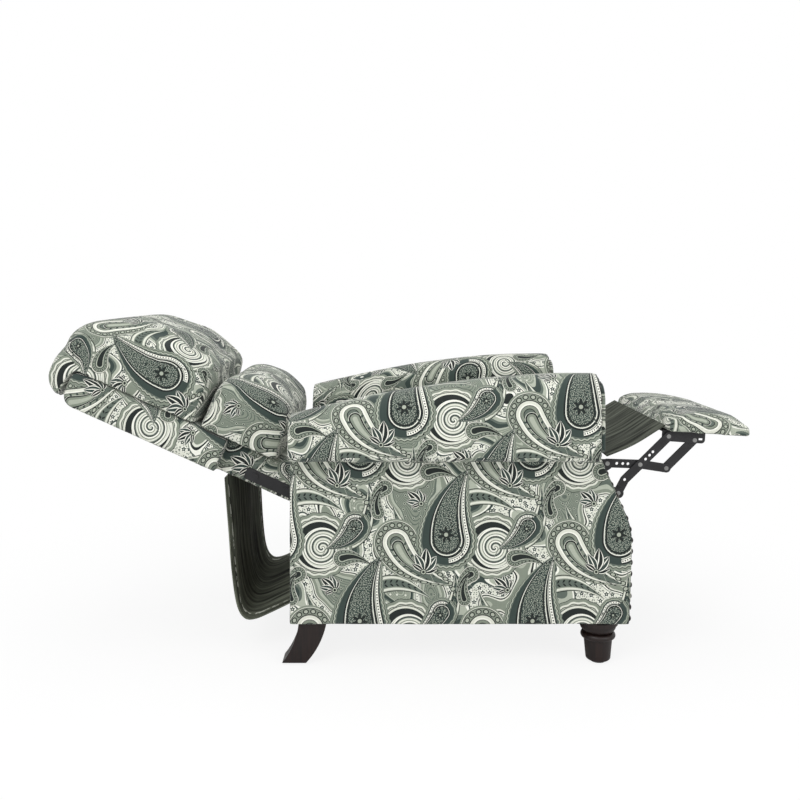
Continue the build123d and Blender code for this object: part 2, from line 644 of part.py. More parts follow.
def base_rail():
    """Steel rail on the runner, with a rear ear for the guide slot and a front ear for the drive link."""
    y = layer(0)
    low = SWING_FOOT_Z - BASE_RAIL_HEIGHT / 2
    high = SWING_FOOT_Z + BASE_RAIL_HEIGHT / 2
    slot, (x, _, slot_top) = guide_slot()
    ear_top = slot_top + GUIDE_WIDTH / 2 + PIN
    ear_front = x + GUIDE_WIDTH
    points = [
        (x - GUIDE_WIDTH, low),
        (BASE_RAIL_FRONT, low),
        (BASE_RAIL_FRONT, DRIVE_Z + DRIVE_WIDTH * 0.7),
        (DRIVE_X - DRIVE_WIDTH * 0.8, DRIVE_Z + DRIVE_WIDTH * 0.7),
        (DRIVE_X - DRIVE_WIDTH * 1.5, high),
        (ear_front + GUIDE_WIDTH, high),
        (ear_front, ear_top),
        (x - GUIDE_WIDTH, ear_top),
    ]
    rail = across(points, BASE_RAIL_ROUNDS, y, y + PLATE) - slot
    cuts = [pin((foot, SWING_FOOT_Z), y, y + PLATE, PIN) for foot in (REAR_SWING_X, FRONT_SWING_X)]
    cuts += [pin(DRIVE, y, y + PLATE, PIN)]
    cuts += [pin((foot, SWING_FOOT_Z), y, y + PLATE, RAIL_BOLT) for foot in RAIL_BOLT_X]
    return cut_all(rail, cuts)


def base_rail_bolts():
    """Bolts that hold a base rail to its runner."""
    bolts = []
    for x in RAIL_BOLT_X:
        head = pin((x, SWING_FOOT_Z), layer(0) - PLATE * 0.7, layer(0), RAIL_BOLT_HEAD)
        bolts.append(head + pin((x, SWING_FOOT_Z), layer(0), HALF_WELL, RAIL_BOLT))
    return bolts


def base_pins():
    """Pivot pins fixed in a base rail: two swings and the drive link."""
    spots = ((REAR_SWING_X, SWING_FOOT_Z), (FRONT_SWING_X, SWING_FOOT_Z), DRIVE)
    return [pin(spot, layer(1), layer(0) + PLATE, PIN) for spot in spots]


def swing_path(foot):
    """Foot and top pivots of a swing link."""
    return (foot, SWING_FOOT_Z), (foot + SEAT_TRAVEL / 2, SWING_TOP_Z)


def swing_link(foot):
    """Upright link between the base rail and the seat rail."""
    path = swing_path(foot)
    return bar(path, SWING_WIDTH, 1, [(spot, PIN + RUNNING) for spot in path])


def swing_tube(foot):
    """Cross tube that joins the left and right swing links."""
    low, high = swing_path(foot)
    middle = ((low[0] + high[0]) / 2, (low[1] + high[1]) / 2)
    y = layer(1)
    return pin(middle, -y, y, TUBE_RADIUS) - pin(middle, -y, y, TUBE_BORE)


def seat_rail():
    """Steel angle under the seat: main bar with a flange, front hanger and a low rear arm for the back."""
    y = layer(2)
    riser_front = SEAT_RAIL_REAR + RISER_WIDTH
    low = BACK_PIVOT_Z - REAR_ARM_WIDTH / 2
    high = BACK_PIVOT_Z + REAR_ARM_WIDTH / 2
    points = [
        (BACK_PIVOT_X - REAR_ARM_WIDTH / 2, low),
        (riser_front, low),
        (riser_front, SEAT_RAIL_LOW),
        (SEAT_RAIL_FRONT, SEAT_RAIL_LOW),
        (HANGER_X + LINK_WIDTH / 2, HANGER_Z - LINK_WIDTH / 2),
        (HANGER_X + LINK_WIDTH / 2, HANGER_Z + LINK_WIDTH / 2),
        (HANGER_X - LINK_WIDTH, HANGER_Z + LINK_WIDTH / 2),
        (SEAT_RAIL_FRONT - LINK_WIDTH, SEAT_RAIL_TOP),
        (SEAT_RAIL_REAR, SEAT_RAIL_TOP),
        (SEAT_RAIL_REAR, high),
        (BACK_PIVOT_X - REAR_ARM_WIDTH / 2, high),
    ]
    rail = across(points, SEAT_RAIL_ROUNDS, y, y + PLATE)
    rail += block(SEAT_RAIL_REAR + RISER_WIDTH / 2, SEAT_FRAME_FRONT, y - SEAT_FLANGE, y + PLATE / 2,
                  SEAT_RAIL_TOP - PLATE, SEAT_RAIL_TOP)
    return cut_all(rail, [pin(spot, y, y + PLATE, PIN) for spot in seat_pivots()])


def seat_pivots():
    """Swing tops, footrest hanger and back pivot on a seat rail."""
    return (swing_path(REAR_SWING_X)[1], swing_path(FRONT_SWING_X)[1], HANGER, BACK_PIVOT)


def seat_pins():
    """Pivot pins fixed in a seat rail, out to the swings or in to the links."""
    rear, front, hanger, back = seat_pivots()
    pins = [pin(spot, layer(2), layer(1) + PLATE, PIN) for spot in (rear, front)]
    return pins + [pin(spot, layer(3), layer(2) + PLATE, PIN) for spot in (hanger, back)]


def seat_frame():
    """Four boards that hold the webbing, hung under the flanges of the seat rails."""
    half = layer(4) - PLATE_GAP
    inner = half - SEAT_BOARD
    high = SEAT_RAIL_TOP - PLATE
    low = high - SEAT_FRAME_DEPTH
    sides = ((inner, half), (-half, -inner))
    boards = [block(SEAT_FRAME_REAR, SEAT_FRAME_FRONT, *side, low, high) for side in sides]
    boards.append(block(SEAT_FRAME_REAR, SEAT_FRAME_REAR + SEAT_BOARD, -inner, inner, low, high))
    boards.append(block(SEAT_FRAME_FRONT - SEAT_BOARD, SEAT_FRAME_FRONT, -inner, inner, low, high))
    return boards


def seat_webbing():
    """Straps across and along the seat frame, one layer on the other, clear of the rail flanges."""
    high = SEAT_RAIL_TOP - PLATE
    half = layer(2) - SEAT_FLANGE - PLATE_GAP
    straps = []
    row_step = (SEAT_FRAME_FRONT - SEAT_FRAME_REAR) / (SEAT_WEB_ROWS + 1)
    for i in range(SEAT_WEB_ROWS):
        x = SEAT_FRAME_REAR + (i + 1) * row_step
        straps.append(block(x - WEB_WIDTH / 2, x + WEB_WIDTH / 2, -half, half, high, high + WEB))
    lane_step = 2 * half / SEAT_WEB_LANES
    for i in range(SEAT_WEB_LANES):
        y = -half + (i + 0.5) * lane_step
        straps.append(block(SEAT_FRAME_REAR, SEAT_FRAME_FRONT, y - WEB_WIDTH / 2, y + WEB_WIDTH / 2,
                            high + WEB, high + 2 * WEB))
    return straps


def seat_cushion():
    """Crowned seat cushion that falls to the rear, its nose standing over the hangers."""
    low = SEAT_RAIL_TOP + SEATING
    middle = (SEAT_REAR + SEAT_FRONT) / 2
    nose = (SEAT_FRONT_TOP - low) / 2
    points = [
        (SEAT_REAR, low),
        (SEAT_REAR, SEAT_REAR_TOP),
        (middle, (SEAT_REAR_TOP + 2 * SEAT_FRONT_TOP) / 3 + SEAT_CROWN),
        (SEAT_FRONT - nose, SEAT_FRONT_TOP),
        (SEAT_FRONT, SEAT_FRONT_TOP - nose / 3),
        (SEAT_FRONT, low),
    ]
    half = HALF_WELL - SEAT_GAP
    cushion = padded(points, SEAT_ROUNDS, half, middle, low, side_point)
    notch = SEAT_RAIL_FRONT - LINK_WIDTH - SEAT_GAP
    return cushion - block(notch, SEAT_FRONT + 1, -half, half, low - 1, SEAT_NOTCH_Z)


def back_box(y0, y1, along0, along1, low, high, rounds=SQUARE):
    """A board of the back."""
    points = [(along0, low), (along1, low), (along1, high), (along0, high)]
    return across(points, rounds, y0, y1, back_point)


def back_bolt_holes():
    """Bolts through one back arm into the frame, without their heads."""
    tip = layer(3) + PLATE
    start = layer(3) - BACK_BOLT_LENGTH
    return [pin((along, 0), start, tip, BACK_BOLT, back_point) for along in BACK_BOLT_AT]


def back_cover():
    """Upholstered box round the back frame, narrower below the shoulder and open at its foot."""
    half = layer(3)
    ends = (0, BACK_HEAD_ROUND, BACK_HEAD_ROUND / 2, 0)
    body = back_box(-half, half, BACK_FOOT, BACK_SHOULDER, BACK_OUTSIDE, BACK_FACE)
    body += back_box(-BACK_HALF, BACK_HALF, BACK_SHOULDER, BACK_HEAD, BACK_OUTSIDE, BACK_FACE, ends)
    low, high = frame_depth()
    room = half - SIDE_PADDING
    wide = BACK_HALF - SIDE_PADDING
    top = BACK_RAIL_AT[-1] + BACK_RAIL
    body -= back_box(-room, room, BACK_FOOT - 1, BACK_SHOULDER, low, high + 2 * WEB)
    body -= back_box(-wide, wide, BACK_SHOULDER + SIDE_PADDING, top, low, high + 2 * WEB)
    body -= back_box(-room, room, BACK_SHOULDER, BACK_SHOULDER + SIDE_PADDING, low, high + 2 * WEB)
    for cut in back_bolt_holes():
        body -= cut
        body -= mirror(cut, about=Plane.XZ)
    return body


def frame_depth():
    """Rear and front of the wooden back frame."""
    low = BACK_OUTSIDE + BACK_PADDING
    return low, low + BACK_BOARD


def back_frame():
    """Two stiles, three rails and two outer strips of the wide part."""
    low, high = frame_depth()
    room = layer(3) - SIDE_PADDING
    inner = room - STILE
    top = BACK_RAIL_AT[-1] + BACK_RAIL
    boards = []
    for side in (1, -1):
        cuts = back_bolt_holes() if side > 0 else [mirror(cut, about=Plane.XZ) for cut in back_bolt_holes()]
        stile = back_box(*sorted((side * inner, side * room)), BACK_RAIL_AT[0], top, low, high)
        boards.append(cut_all(stile, cuts))
        strip_y = sorted((side * room, side * (BACK_HALF - SIDE_PADDING)))
        boards.append(back_box(*strip_y, BACK_SHOULDER + SIDE_PADDING, top, low, high))
    boards += [back_box(-inner, inner, along, along + BACK_RAIL, low, high) for along in BACK_RAIL_AT]
    return boards


def back_webbing():
    """Straps across the front of the back frame."""
    high = frame_depth()[1]
    half = layer(3) - SIDE_PADDING - STILE / 4
    start = BACK_RAIL_AT[0] + BACK_RAIL
    step = (BACK_RAIL_AT[-1] - start) / BACK_WEB_ROWS
    spots = [start + (i + 0.5) * step for i in range(BACK_WEB_ROWS)]
    return [back_box(-half, half, at - WEB_WIDTH / 2, at + WEB_WIDTH / 2, high, high + WEB) for at in spots]


def head_pillow():
    """Head pillow, crowned, with a lip over the end of the back."""
    end = BACK_HEAD + HEAD_LIP
    start = PILLOW_SEAM + PILLOW_GAP
    points = [
        (start, HEAD_LOW),
        (start, HEAD_NECK),
        (start + HEAD_CREST_AT * (end - start), HEAD_CREST),
        (start + HEAD_BROW_AT * (end - start), HEAD_BROW),
        (end, HEAD_END),
        (end, HEAD_LOW),
    ]
    base = BACK_FACE + SEATING
    pillow = padded(points, HEAD_ROUNDS, BACK_HALF, (start + end) / 2, base, back_point)
    seat = BACK_HEAD + SEATING
    return pillow - back_box(-SEAT_WELL, SEAT_WELL, start - HEAD_LIP, seat, BACK_OUTSIDE - HEAD_LIP, base)


def lumbar_pillow():
    """Lumbar pillow, fullest under the seam with the head pillow."""
    end = PILLOW_SEAM - PILLOW_GAP
    base = BACK_FACE + SEATING
    shoulder, crest, fall = [LUMBAR_FOOT + share * (end - LUMBAR_FOOT) for share in LUMBAR_AT]
    points = [
        (LUMBAR_FOOT, base),
        (LUMBAR_FOOT, LUMBAR_LOW),
        (shoulder, LUMBAR_SHOULDER),
        (crest, LUMBAR_CREST),
        (fall, LUMBAR_CREST - LUMBAR_FALL),
        (end, LUMBAR_NECK),
        (end, base),
    ]
    return padded(points, LUMBAR_ROUNDS, BACK_HALF, (LUMBAR_FOOT + end) / 2, base, back_point)


def back_arm():
    """Steel arm on the side of the back, hinged on the seat rail, with an ear for the guide pin."""
    y = layer(3)
    half = BACK_ARM_WIDTH / 2
    points = [(-half, -half), (BACK_ARM_LENGTH, -half), (BACK_ARM_LENGTH, half), (-half, half)]
    plate = across(points, [half * 0.98, 6, 6, half * 0.98], y, y + PLATE, back_point)
    ear = back_point(*GUIDE)
    plate += bar([BACK_PIVOT, (ear[0], ear[2])], GUIDE_WIDTH, 3, [])
    plate -= pin(BACK_PIVOT, y, y + PLATE, PIN + RUNNING)
    plate -= pin(GUIDE, y, y + PLATE, PIN, back_point)
    return cut_all(plate, back_bolt_holes())


def back_bolts():
    """Bolts of one back arm with their heads."""
    face = layer(3) + PLATE
    bolts = []
    for along, shank in zip(BACK_BOLT_AT, back_bolt_holes()):
        bolts.append(shank + pin((along, 0), face, face + BACK_BOLT_RISE, BACK_BOLT_HEAD, back_point))
    return bolts


def guide_pin():
    """Pin on a back arm that runs in the base rail's slot."""
    return pin(GUIDE, layer(3), layer(0) + PLATE - PLATE_GAP / 2, PIN, back_point)


def along_line(start, end, distance):
    """A point at a distance from start towards end."""
    share = distance / hypot(end[0] - start[0], end[1] - start[1])
    return (start[0] + share * (end[0] - start[0]), start[1] + share * (end[1] - start[1]))


def cross_link():
    """Cross link, hung on the seat rail, through the crossing to the short link."""
    holes = [(HANGER, PIN + RUNNING), (CROSSING, PIN), (CROSS_END, PIN)]
    holes += [(along_line(HANGER, CROSSING, d), LIGHTENING) for d in CROSS_HOLES]
    return bar([HANGER, CROSSING, CROSS_END], LINK_WIDTH, 3, holes)


def long_link():
    """Long link, from its driven end round its bend and the crossing to the footrest hinge."""
    holes = [(LONG_END, PIN), (CROSSING, PIN + RUNNING), (FOOT_HINGE, PIN), (LONG_BEND, LIGHTENING)]
    holes += [(along_line(CROSSING, FOOT_HINGE, d), LIGHTENING) for d in LONG_HOLES]
    return bar([LONG_END, LONG_BEND, CROSSING, FOOT_HINGE], LINK_WIDTH, 2, holes)


def short_link():
    """Short link beside the long one, from the cross link to the footrest bracket."""
    holes = [(CROSS_END, PIN + RUNNING), (SHORT_END, PIN + RUNNING)]
    return bar([CROSS_END, SHORT_END], LINK_WIDTH, 4, holes)


def drive_link():
    """Link from the base rail to the long link's driven end."""
    return bar([DRIVE, LONG_END], DRIVE_WIDTH, 1, [(DRIVE, PIN + DRIVE_PLAY), (LONG_END, PIN + RUNNING)])


def cross_pins():
    """Pins fixed in a cross link: the crossing and the short link."""
    return [
        pin(CROSSING, layer(3), layer(2) + PLATE, PIN),
        pin(CROSS_END, layer(4), layer(3) + PLATE, PIN),
    ]


def long_pins():
    """Pins fixed in a long link: the footrest hinge and the drive link."""
    return [
        pin(FOOT_HINGE, layer(3), layer(2) + PLATE, PIN),
        pin(LONG_END, layer(2), layer(1) + PLATE, PIN),
    ]


def bracket_pin():
    """Pin fixed in a footrest bracket for the short link."""
    return pin(SHORT_END, layer(4), layer(3) + PLATE, PIN)


def foot_box(y0, y1, along0, along1, low, high, rounds=SQUARE):
    """A board of the footrest."""
    points = [(along0, low), (along1, low), (along1, high), (along0, high)]
    return across(points, rounds, y0, y1, foot_point)


def screw_places():
    """Bracket screws along and across the footrest."""
    y = layer(3) - FOOT_FLANGE / 2
    return [(SCREW_PITCH * (i + 0.2), y) for i in range(3)]


def foot_bracket():
    """Steel angle under the footrest that carries both links of one side."""
    y = layer(3)
    plate = foot_box(y, y + PLATE, FOOT_REAR, FOOT_BRACKET_END, -FOOT_BRACKET_DROP, FOOT_SEAT,
                     FOOT_BRACKET_ROUNDS)
    plate += foot_box(y - FOOT_FLANGE, y + PLATE / 2, FOOT_REAR, FOOT_BRACKET_END,
                      FOOT_SEAT - PLATE, FOOT_SEAT)
    plate -= pin(FOOT_HINGE, y, y + PLATE, PIN + RUNNING)
    plate -= pin(SHORT_END, y, y + PLATE, PIN)
    slot = SCREW * 2
    near_end = FOOT_BRACKET_END - 3 * slot
    plate -= foot_box(y, y + PLATE, near_end, near_end + 2 * slot, -slot, 0, [slot / 3] * 4)
    for along, across_y in screw_places():
        plate -= foot_screw_shank(along, across_y)
    return plate


def foot_screw_shank(along, y):
    """Shank of a screw from the bracket flange up into the board."""
    low = foot_point(along, FOOT_SEAT - PLATE)
    length = PLATE + FOOT_BOARD / 2
    middle = foot_point(along, FOOT_SEAT - PLATE + length / 2)
    turn = degrees(atan2(middle[0] - low[0], middle[2] - low[2]))
    return Pos(middle[0], y, middle[2]) * Rot(0, turn, 0) * Cylinder(SCREW, length)


def foot_screws():
    """Screws of one footrest bracket."""
    screws = []
    for along, y in screw_places():
        centre = foot_point(along, FOOT_SEAT - PLATE - SCREW_RISE / 2)
        head = Pos(centre[0], y, centre[2]) * Rot(0, FOOT_SLOPE, 0) * Cylinder(SCREW_HEAD, SCREW_RISE)
        screws.append(head + foot_screw_shank(along, y))
    return screws


def foot_board():
    """Plywood board of the footrest."""
    half = FOOT_WIDTH / 2 - BOARD_MARGIN
    board = foot_box(-half, half, FOOT_REAR + BOARD_MARGIN, FOOT_FRONT - BOARD_MARGIN,
                     FOOT_SEAT, FOOT_SEAT + FOOT_BOARD)
    for along, y in screw_places():
        board -= foot_screw_shank(along, y)
        board -= foot_screw_shank(along, -y)
    return board


def foot_pad():
    """Crowned pad over the board and down its edges."""
    middle = (FOOT_REAR + FOOT_FRONT) / 2
    edge = FOOT_SEAT + FOOT_EDGE
    points = [
        (FOOT_REAR, FOOT_SEAT),
        (FOOT_REAR, edge),
        (middle, FOOT_SEAT + FOOT_CROWN),
        (FOOT_FRONT, edge - FOOT_TOE_FALL),
        (FOOT_FRONT, FOOT_SEAT),
    ]
    pad = padded(points, FOOT_ROUNDS, FOOT_WIDTH / 2, middle, FOOT_SEAT, foot_point)
    half = FOOT_WIDTH / 2 - BOARD_MARGIN
    return pad - foot_box(-half, half, FOOT_REAR + BOARD_MARGIN, FOOT_FRONT - BOARD_MARGIN,
                          FOOT_SEAT, FOOT_SEAT + FOOT_BOARD)


def leg_flap():
    """Cloth from the front of the seat up to the rear edge of the footrest."""
    start = (SEAT_FRONT + SEATING, FLAP_LOW_Z)
    at = FOOT_SEAT + FOOT_EDGE / 3
    high = foot_point(FOOT_REAR - SEATING, at)
    end = (high[0], high[2])
    middle = ((start[0] + end[0]) / 2, (start[1] + end[1]) / 2 - FLAP_SAG)
    points, radii = strip([start, middle, end], [0, CLOTH_BEND, 0], FLAP)
    for i in (0, -1):
        points[i] = (start[0], points[i][1])
    for i, side in ((2, FLAP / 2), (3, -FLAP / 2)):
        x, _, z = foot_point(FOOT_REAR - SEATING, at + side)
        points[i] = (x, z)
    return across(points, radii, -FLAP_WIDTH / 2, FLAP_WIDTH / 2)


def back_skirt():
    """Cloth hung in a loop from the outside of the back to the rear rail."""
    top = back_point(SKIRT_AT, BACK_OUTSIDE - SEATING)
    path = [(top[0], top[2]), (SKIRT_FALL_X, SKIRT_FALL_Z)]
    path += [(SKIRT_TOE_X, SKIRT_TOE_Z), (REAR_RAIL_X, SKIRT_END_Z)]
    points, radii = strip(path, [0, CLOTH_BEND, SKIRT_TOE_ROUND, 0], CLOTH)
    slope = tan(radians(BACK_SLOPE))
    for i in (0, -1):
        points[i] = (points[i][0], top[2] - (points[i][0] - top[0]) * slope)
    for i in (len(path) - 1, len(path)):
        points[i] = (REAR_RAIL_X, points[i][1])
    return across(points, radii, -SKIRT_WIDTH / 2, SKIRT_WIDTH / 2)


def rail_between_arms(x, thickness, top):
    """A base rail of wood from arm to arm."""
    return block(x, x + thickness, -HALF_WELL, HALF_WELL, LEG_HEIGHT, top)


def front_rail_cover():
    """Padded cloth on the front rail."""
    start = FRONT_RAIL_X + FRONT_RAIL
    points = [(start, LEG_HEIGHT), (start + RAIL_PAD, LEG_HEIGHT),
              (start + RAIL_PAD, FRONT_RAIL_TOP), (start, FRONT_RAIL_TOP)]
    half = HALF_WELL - SEATING
    return across(points, RAIL_PAD_ROUNDS, -half, half)


def pair(solids):
    """The solids of the left side and their mirror images on the right."""
    return solids + [mirror(solid, about=Plane.XZ) for solid in solids]


def build_nodes():
    """Every node as a list of solids, in the datum of the sizes above."""
    sided = {
        "arm_frame": arm_frame(),
        "arm_cover": [arm_cover()],
        "arm_facing": [arm_facing()],
        "nailheads": nailheads(),
        "front_leg": [front_leg()],
        "rear_leg": [rear_leg()],
        "base_rail": [base_rail()],
        "front_swing_link": [swing_link(FRONT_SWING_X)],
        "rear_swing_link": [swing_link(REAR_SWING_X)],
        "seat_rail": [seat_rail()],
        "back_arm": [back_arm()],
        "cross_link": [cross_link()],
        "long_link": [long_link()],
        "short_link": [short_link()],
        "footrest_bracket": [foot_bracket()],
    }
    nodes = {}
    for name, solids in sided.items():
        nodes[name + "_left"] = solids
        nodes[name + "_right"] = [mirror(solid, about=Plane.XZ) for solid in solids]
    nodes.update({
        "front_rail": [rail_between_arms(FRONT_RAIL_X, FRONT_RAIL, FRONT_RAIL_TOP)],
        "front_rail_cover": [front_rail_cover()],
        "rear_rail": [rail_between_arms(REAR_RAIL_X, REAR_RAIL, REAR_RAIL_TOP)],
        "corner_blocks": pair(corner_blocks()),
        "leg_bolts": pair([leg_bolt(place) for place in leg_places()]),
        "leg_glides": pair(glides()),
        "base_rail_bolts": pair(base_rail_bolts()),
        "base_pivot_pins": pair(base_pins()),
        "back_skirt": [back_skirt()],
        "front_swing_tube": [swing_tube(FRONT_SWING_X)],
        "rear_swing_tube": [swing_tube(REAR_SWING_X)],
        "seat_frame": seat_frame(),
        "seat_webbing": seat_webbing(),
        "seat_cushion": [seat_cushion()],
        "seat_pivot_pins": pair(seat_pins()),
        "back_frame": back_frame(),
        "back_webbing": back_webbing(),
        "back_cover": [back_cover()],
        "head_pillow": [head_pillow()],
        "lumbar_pillow": [lumbar_pillow()],
        "back_arm_bolts": pair(back_bolts()),
        "guide_pins": pair([guide_pin()]),
        "cross_link_pins": pair(cross_pins()),
        "long_link_pins": pair(long_pins()),
        "drive_links": pair([drive_link()]),
        "footrest_board": [foot_board()],
        "footrest_pad": [foot_pad()],
        "footrest_screws": pair(foot_screws()),
        "bracket_pins": pair([bracket_pin()]),
        "leg_flap": [leg_flap()],
    })
    return nodes


def centre_shift(nodes):
    """Move along X that puts the origin under the middle of the reclined chair."""
    boxes = [solid.bounding_box() for solids in nodes.values() for solid in solids]
    return -(min(box.min.X for box in boxes) + max(box.max.X for box in boxes)) / 2


def main():
    os.makedirs("parts", exist_ok=True)
    nodes = build_nodes()
    shift = Pos(centre_shift(nodes), 0, 0)
    for name, solids in nodes.items():
        placed = [piece for solid in solids for piece in (shift * solid).solids()]
        export_step(Compound(placed), os.path.join("parts", name + ".step"))


if __name__ == "__main__":
    main()
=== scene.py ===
import json
import logging
import math
from collections.abc import Callable, Iterable, Sequence
from dataclasses import dataclass
from enum import Enum

import bmesh
import bpy
import numpy as np
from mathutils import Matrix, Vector, noise


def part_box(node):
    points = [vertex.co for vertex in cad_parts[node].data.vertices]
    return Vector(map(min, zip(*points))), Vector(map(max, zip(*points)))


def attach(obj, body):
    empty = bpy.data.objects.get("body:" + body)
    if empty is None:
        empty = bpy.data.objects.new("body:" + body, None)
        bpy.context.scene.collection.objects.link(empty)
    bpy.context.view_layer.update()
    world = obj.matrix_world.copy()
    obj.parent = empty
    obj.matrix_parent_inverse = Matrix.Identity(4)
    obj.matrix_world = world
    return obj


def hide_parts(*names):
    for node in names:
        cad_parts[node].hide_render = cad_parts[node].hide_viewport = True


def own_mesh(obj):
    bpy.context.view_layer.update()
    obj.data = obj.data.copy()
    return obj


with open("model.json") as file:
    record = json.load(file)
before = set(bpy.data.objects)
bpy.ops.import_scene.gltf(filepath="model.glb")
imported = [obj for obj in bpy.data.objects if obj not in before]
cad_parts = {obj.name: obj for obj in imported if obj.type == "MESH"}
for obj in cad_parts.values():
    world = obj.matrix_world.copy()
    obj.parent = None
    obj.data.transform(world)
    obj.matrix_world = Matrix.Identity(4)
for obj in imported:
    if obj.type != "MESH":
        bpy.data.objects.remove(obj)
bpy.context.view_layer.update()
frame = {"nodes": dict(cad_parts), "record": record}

LOG = logging.getLogger("recliner")
REAR_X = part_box("arm_cover_right")[0].x      # rear face of the arms, where lengths along the chair start
MIX_A, MIX_B, MIX_RESULT = 6, 7, 2           # the colour sockets of a Mix node
EVEN = (1.0, 1.0, 1.0)                       # no stretch

Color = tuple[float, float, float, float]
Tree = bpy.types.NodeTree
Socket = bpy.types.NodeSocket
Node = bpy.types.Node
Piece = bpy.types.Object
Mesh = bpy.types.Mesh
Material = bpy.types.Material
Rows = np.ndarray
Paint = Color | Socket


def tone(red: int, green: int, blue: int) -> Color:
    """Linear colour of a display colour.

    Args:
        red: Red, 0 to 255.
        green: Green, 0 to 255.
        blue: Blue, 0 to 255.

    Returns:
        The linear colour with full alpha.
    """
    shares = [value / 255 for value in (red, green, blue)]
    linear = [c / 12.92 if c <= 0.04045 else ((c + 0.055) / 1.055) ** 2.4 for c in shares]
    return (linear[0], linear[1], linear[2], 1.0)


def operation(kind: str, note: str) -> "Callable[..., Signal]":
    """A method of Signal that adds one Math node.

    Args:
        kind: Blender's name of the operation.
        note: The method's docstring.

    Returns:
        The method.
    """
    def method(self: "Signal", *others: "float | Signal") -> "Signal":
        return self.math(kind, *others)
    method.__doc__ = note
    return method


class Signal:
    """A value socket of a node tree that takes part in arithmetic by adding Math nodes."""

    def __init__(self, tree: Tree, socket: Socket) -> None:
        """Wrap a socket."""
        self.tree = tree
        self.socket = socket

    def math(self, operation: str, *others: "float | Signal") -> "Signal":
        """Add one Math node.

        Args:
            operation: Blender's name of the operation.
            others: Its second and third inputs.

        Returns:
            The node's output.
        """
        node = self.tree.nodes.new("ShaderNodeMath")
        node.operation = operation
        for slot, value in zip(node.inputs, (self, *others)):
            if isinstance(value, Signal):
                self.tree.links.new(value.socket, slot)
            else:
                slot.default_value = value
        return Signal(self.tree, node.outputs[0])

    def __rsub__(self, other: float) -> "Signal":
        """A number less this."""
        return self.math("MULTIPLY_ADD", -1.0, other)

    __add__ = operation("ADD", "Sum.")
    __sub__ = operation("SUBTRACT", "Difference.")
    __mul__ = operation("MULTIPLY", "Product.")
    __truediv__ = operation("DIVIDE", "Quotient.")
    __pow__ = operation("POWER", "Power.")
    __lt__ = operation("LESS_THAN", "1 where this is less.")
    __gt__ = operation("GREATER_THAN", "1 where this is more.")
    abs = operation("ABSOLUTE", "Size without sign.")
    round = operation("ROUND", "Nearest whole number.")
    fract = operation("FRACT", "Part after the point.")
    sqrt = operation("SQRT", "Square root.")
    cos = operation("COSINE", "Cosine.")
    angle = operation("ARCTAN2", "Angle of a point with this as its height, and the other as its width.")
    low = operation("MINIMUM", "The lesser of two.")
    high = operation("MAXIMUM", "The greater of two.")
    near = operation("COMPARE", "1 within a reach, the second number, of a value, the first.")

    def beat(self) -> "Signal":
        """Distance from the middle of each whole step."""
        return (self.fract() - 0.5).abs()

    def hypot(self, other: "Signal") -> "Signal":
        """Length of the two as sides."""
        return (self * self + other * other).sqrt()


class Nodes:
    """A node tree that grows node by node."""

    def __init__(self, tree: Tree) -> None:
        """Take the tree."""
        self.tree = tree

    def feed(self, slot: Socket, value: object) -> None:
        """Link a socket to an input, or set the input's constant.

        Args:
            slot: The input.
            value: A socket or a constant.
        """
        if isinstance(value, Socket):
            self.tree.links.new(value, slot)
        else:
            slot.default_value = value

    def add(self, kind: str, links: Sequence = (), **values: object) -> Node:
        """Add a node.

        Args:
            kind: Blender's name of the node type.
            links: Sockets or constants for its first inputs, None for one left alone.
            values: Attributes to set first.

        Returns:
            The node.
        """
        node = self.tree.nodes.new(kind)
        for name, value in values.items():
            setattr(node, name, value)
        for slot, value in zip(node.inputs, links):
            if value is not None:
                self.feed(slot, value)
        return node


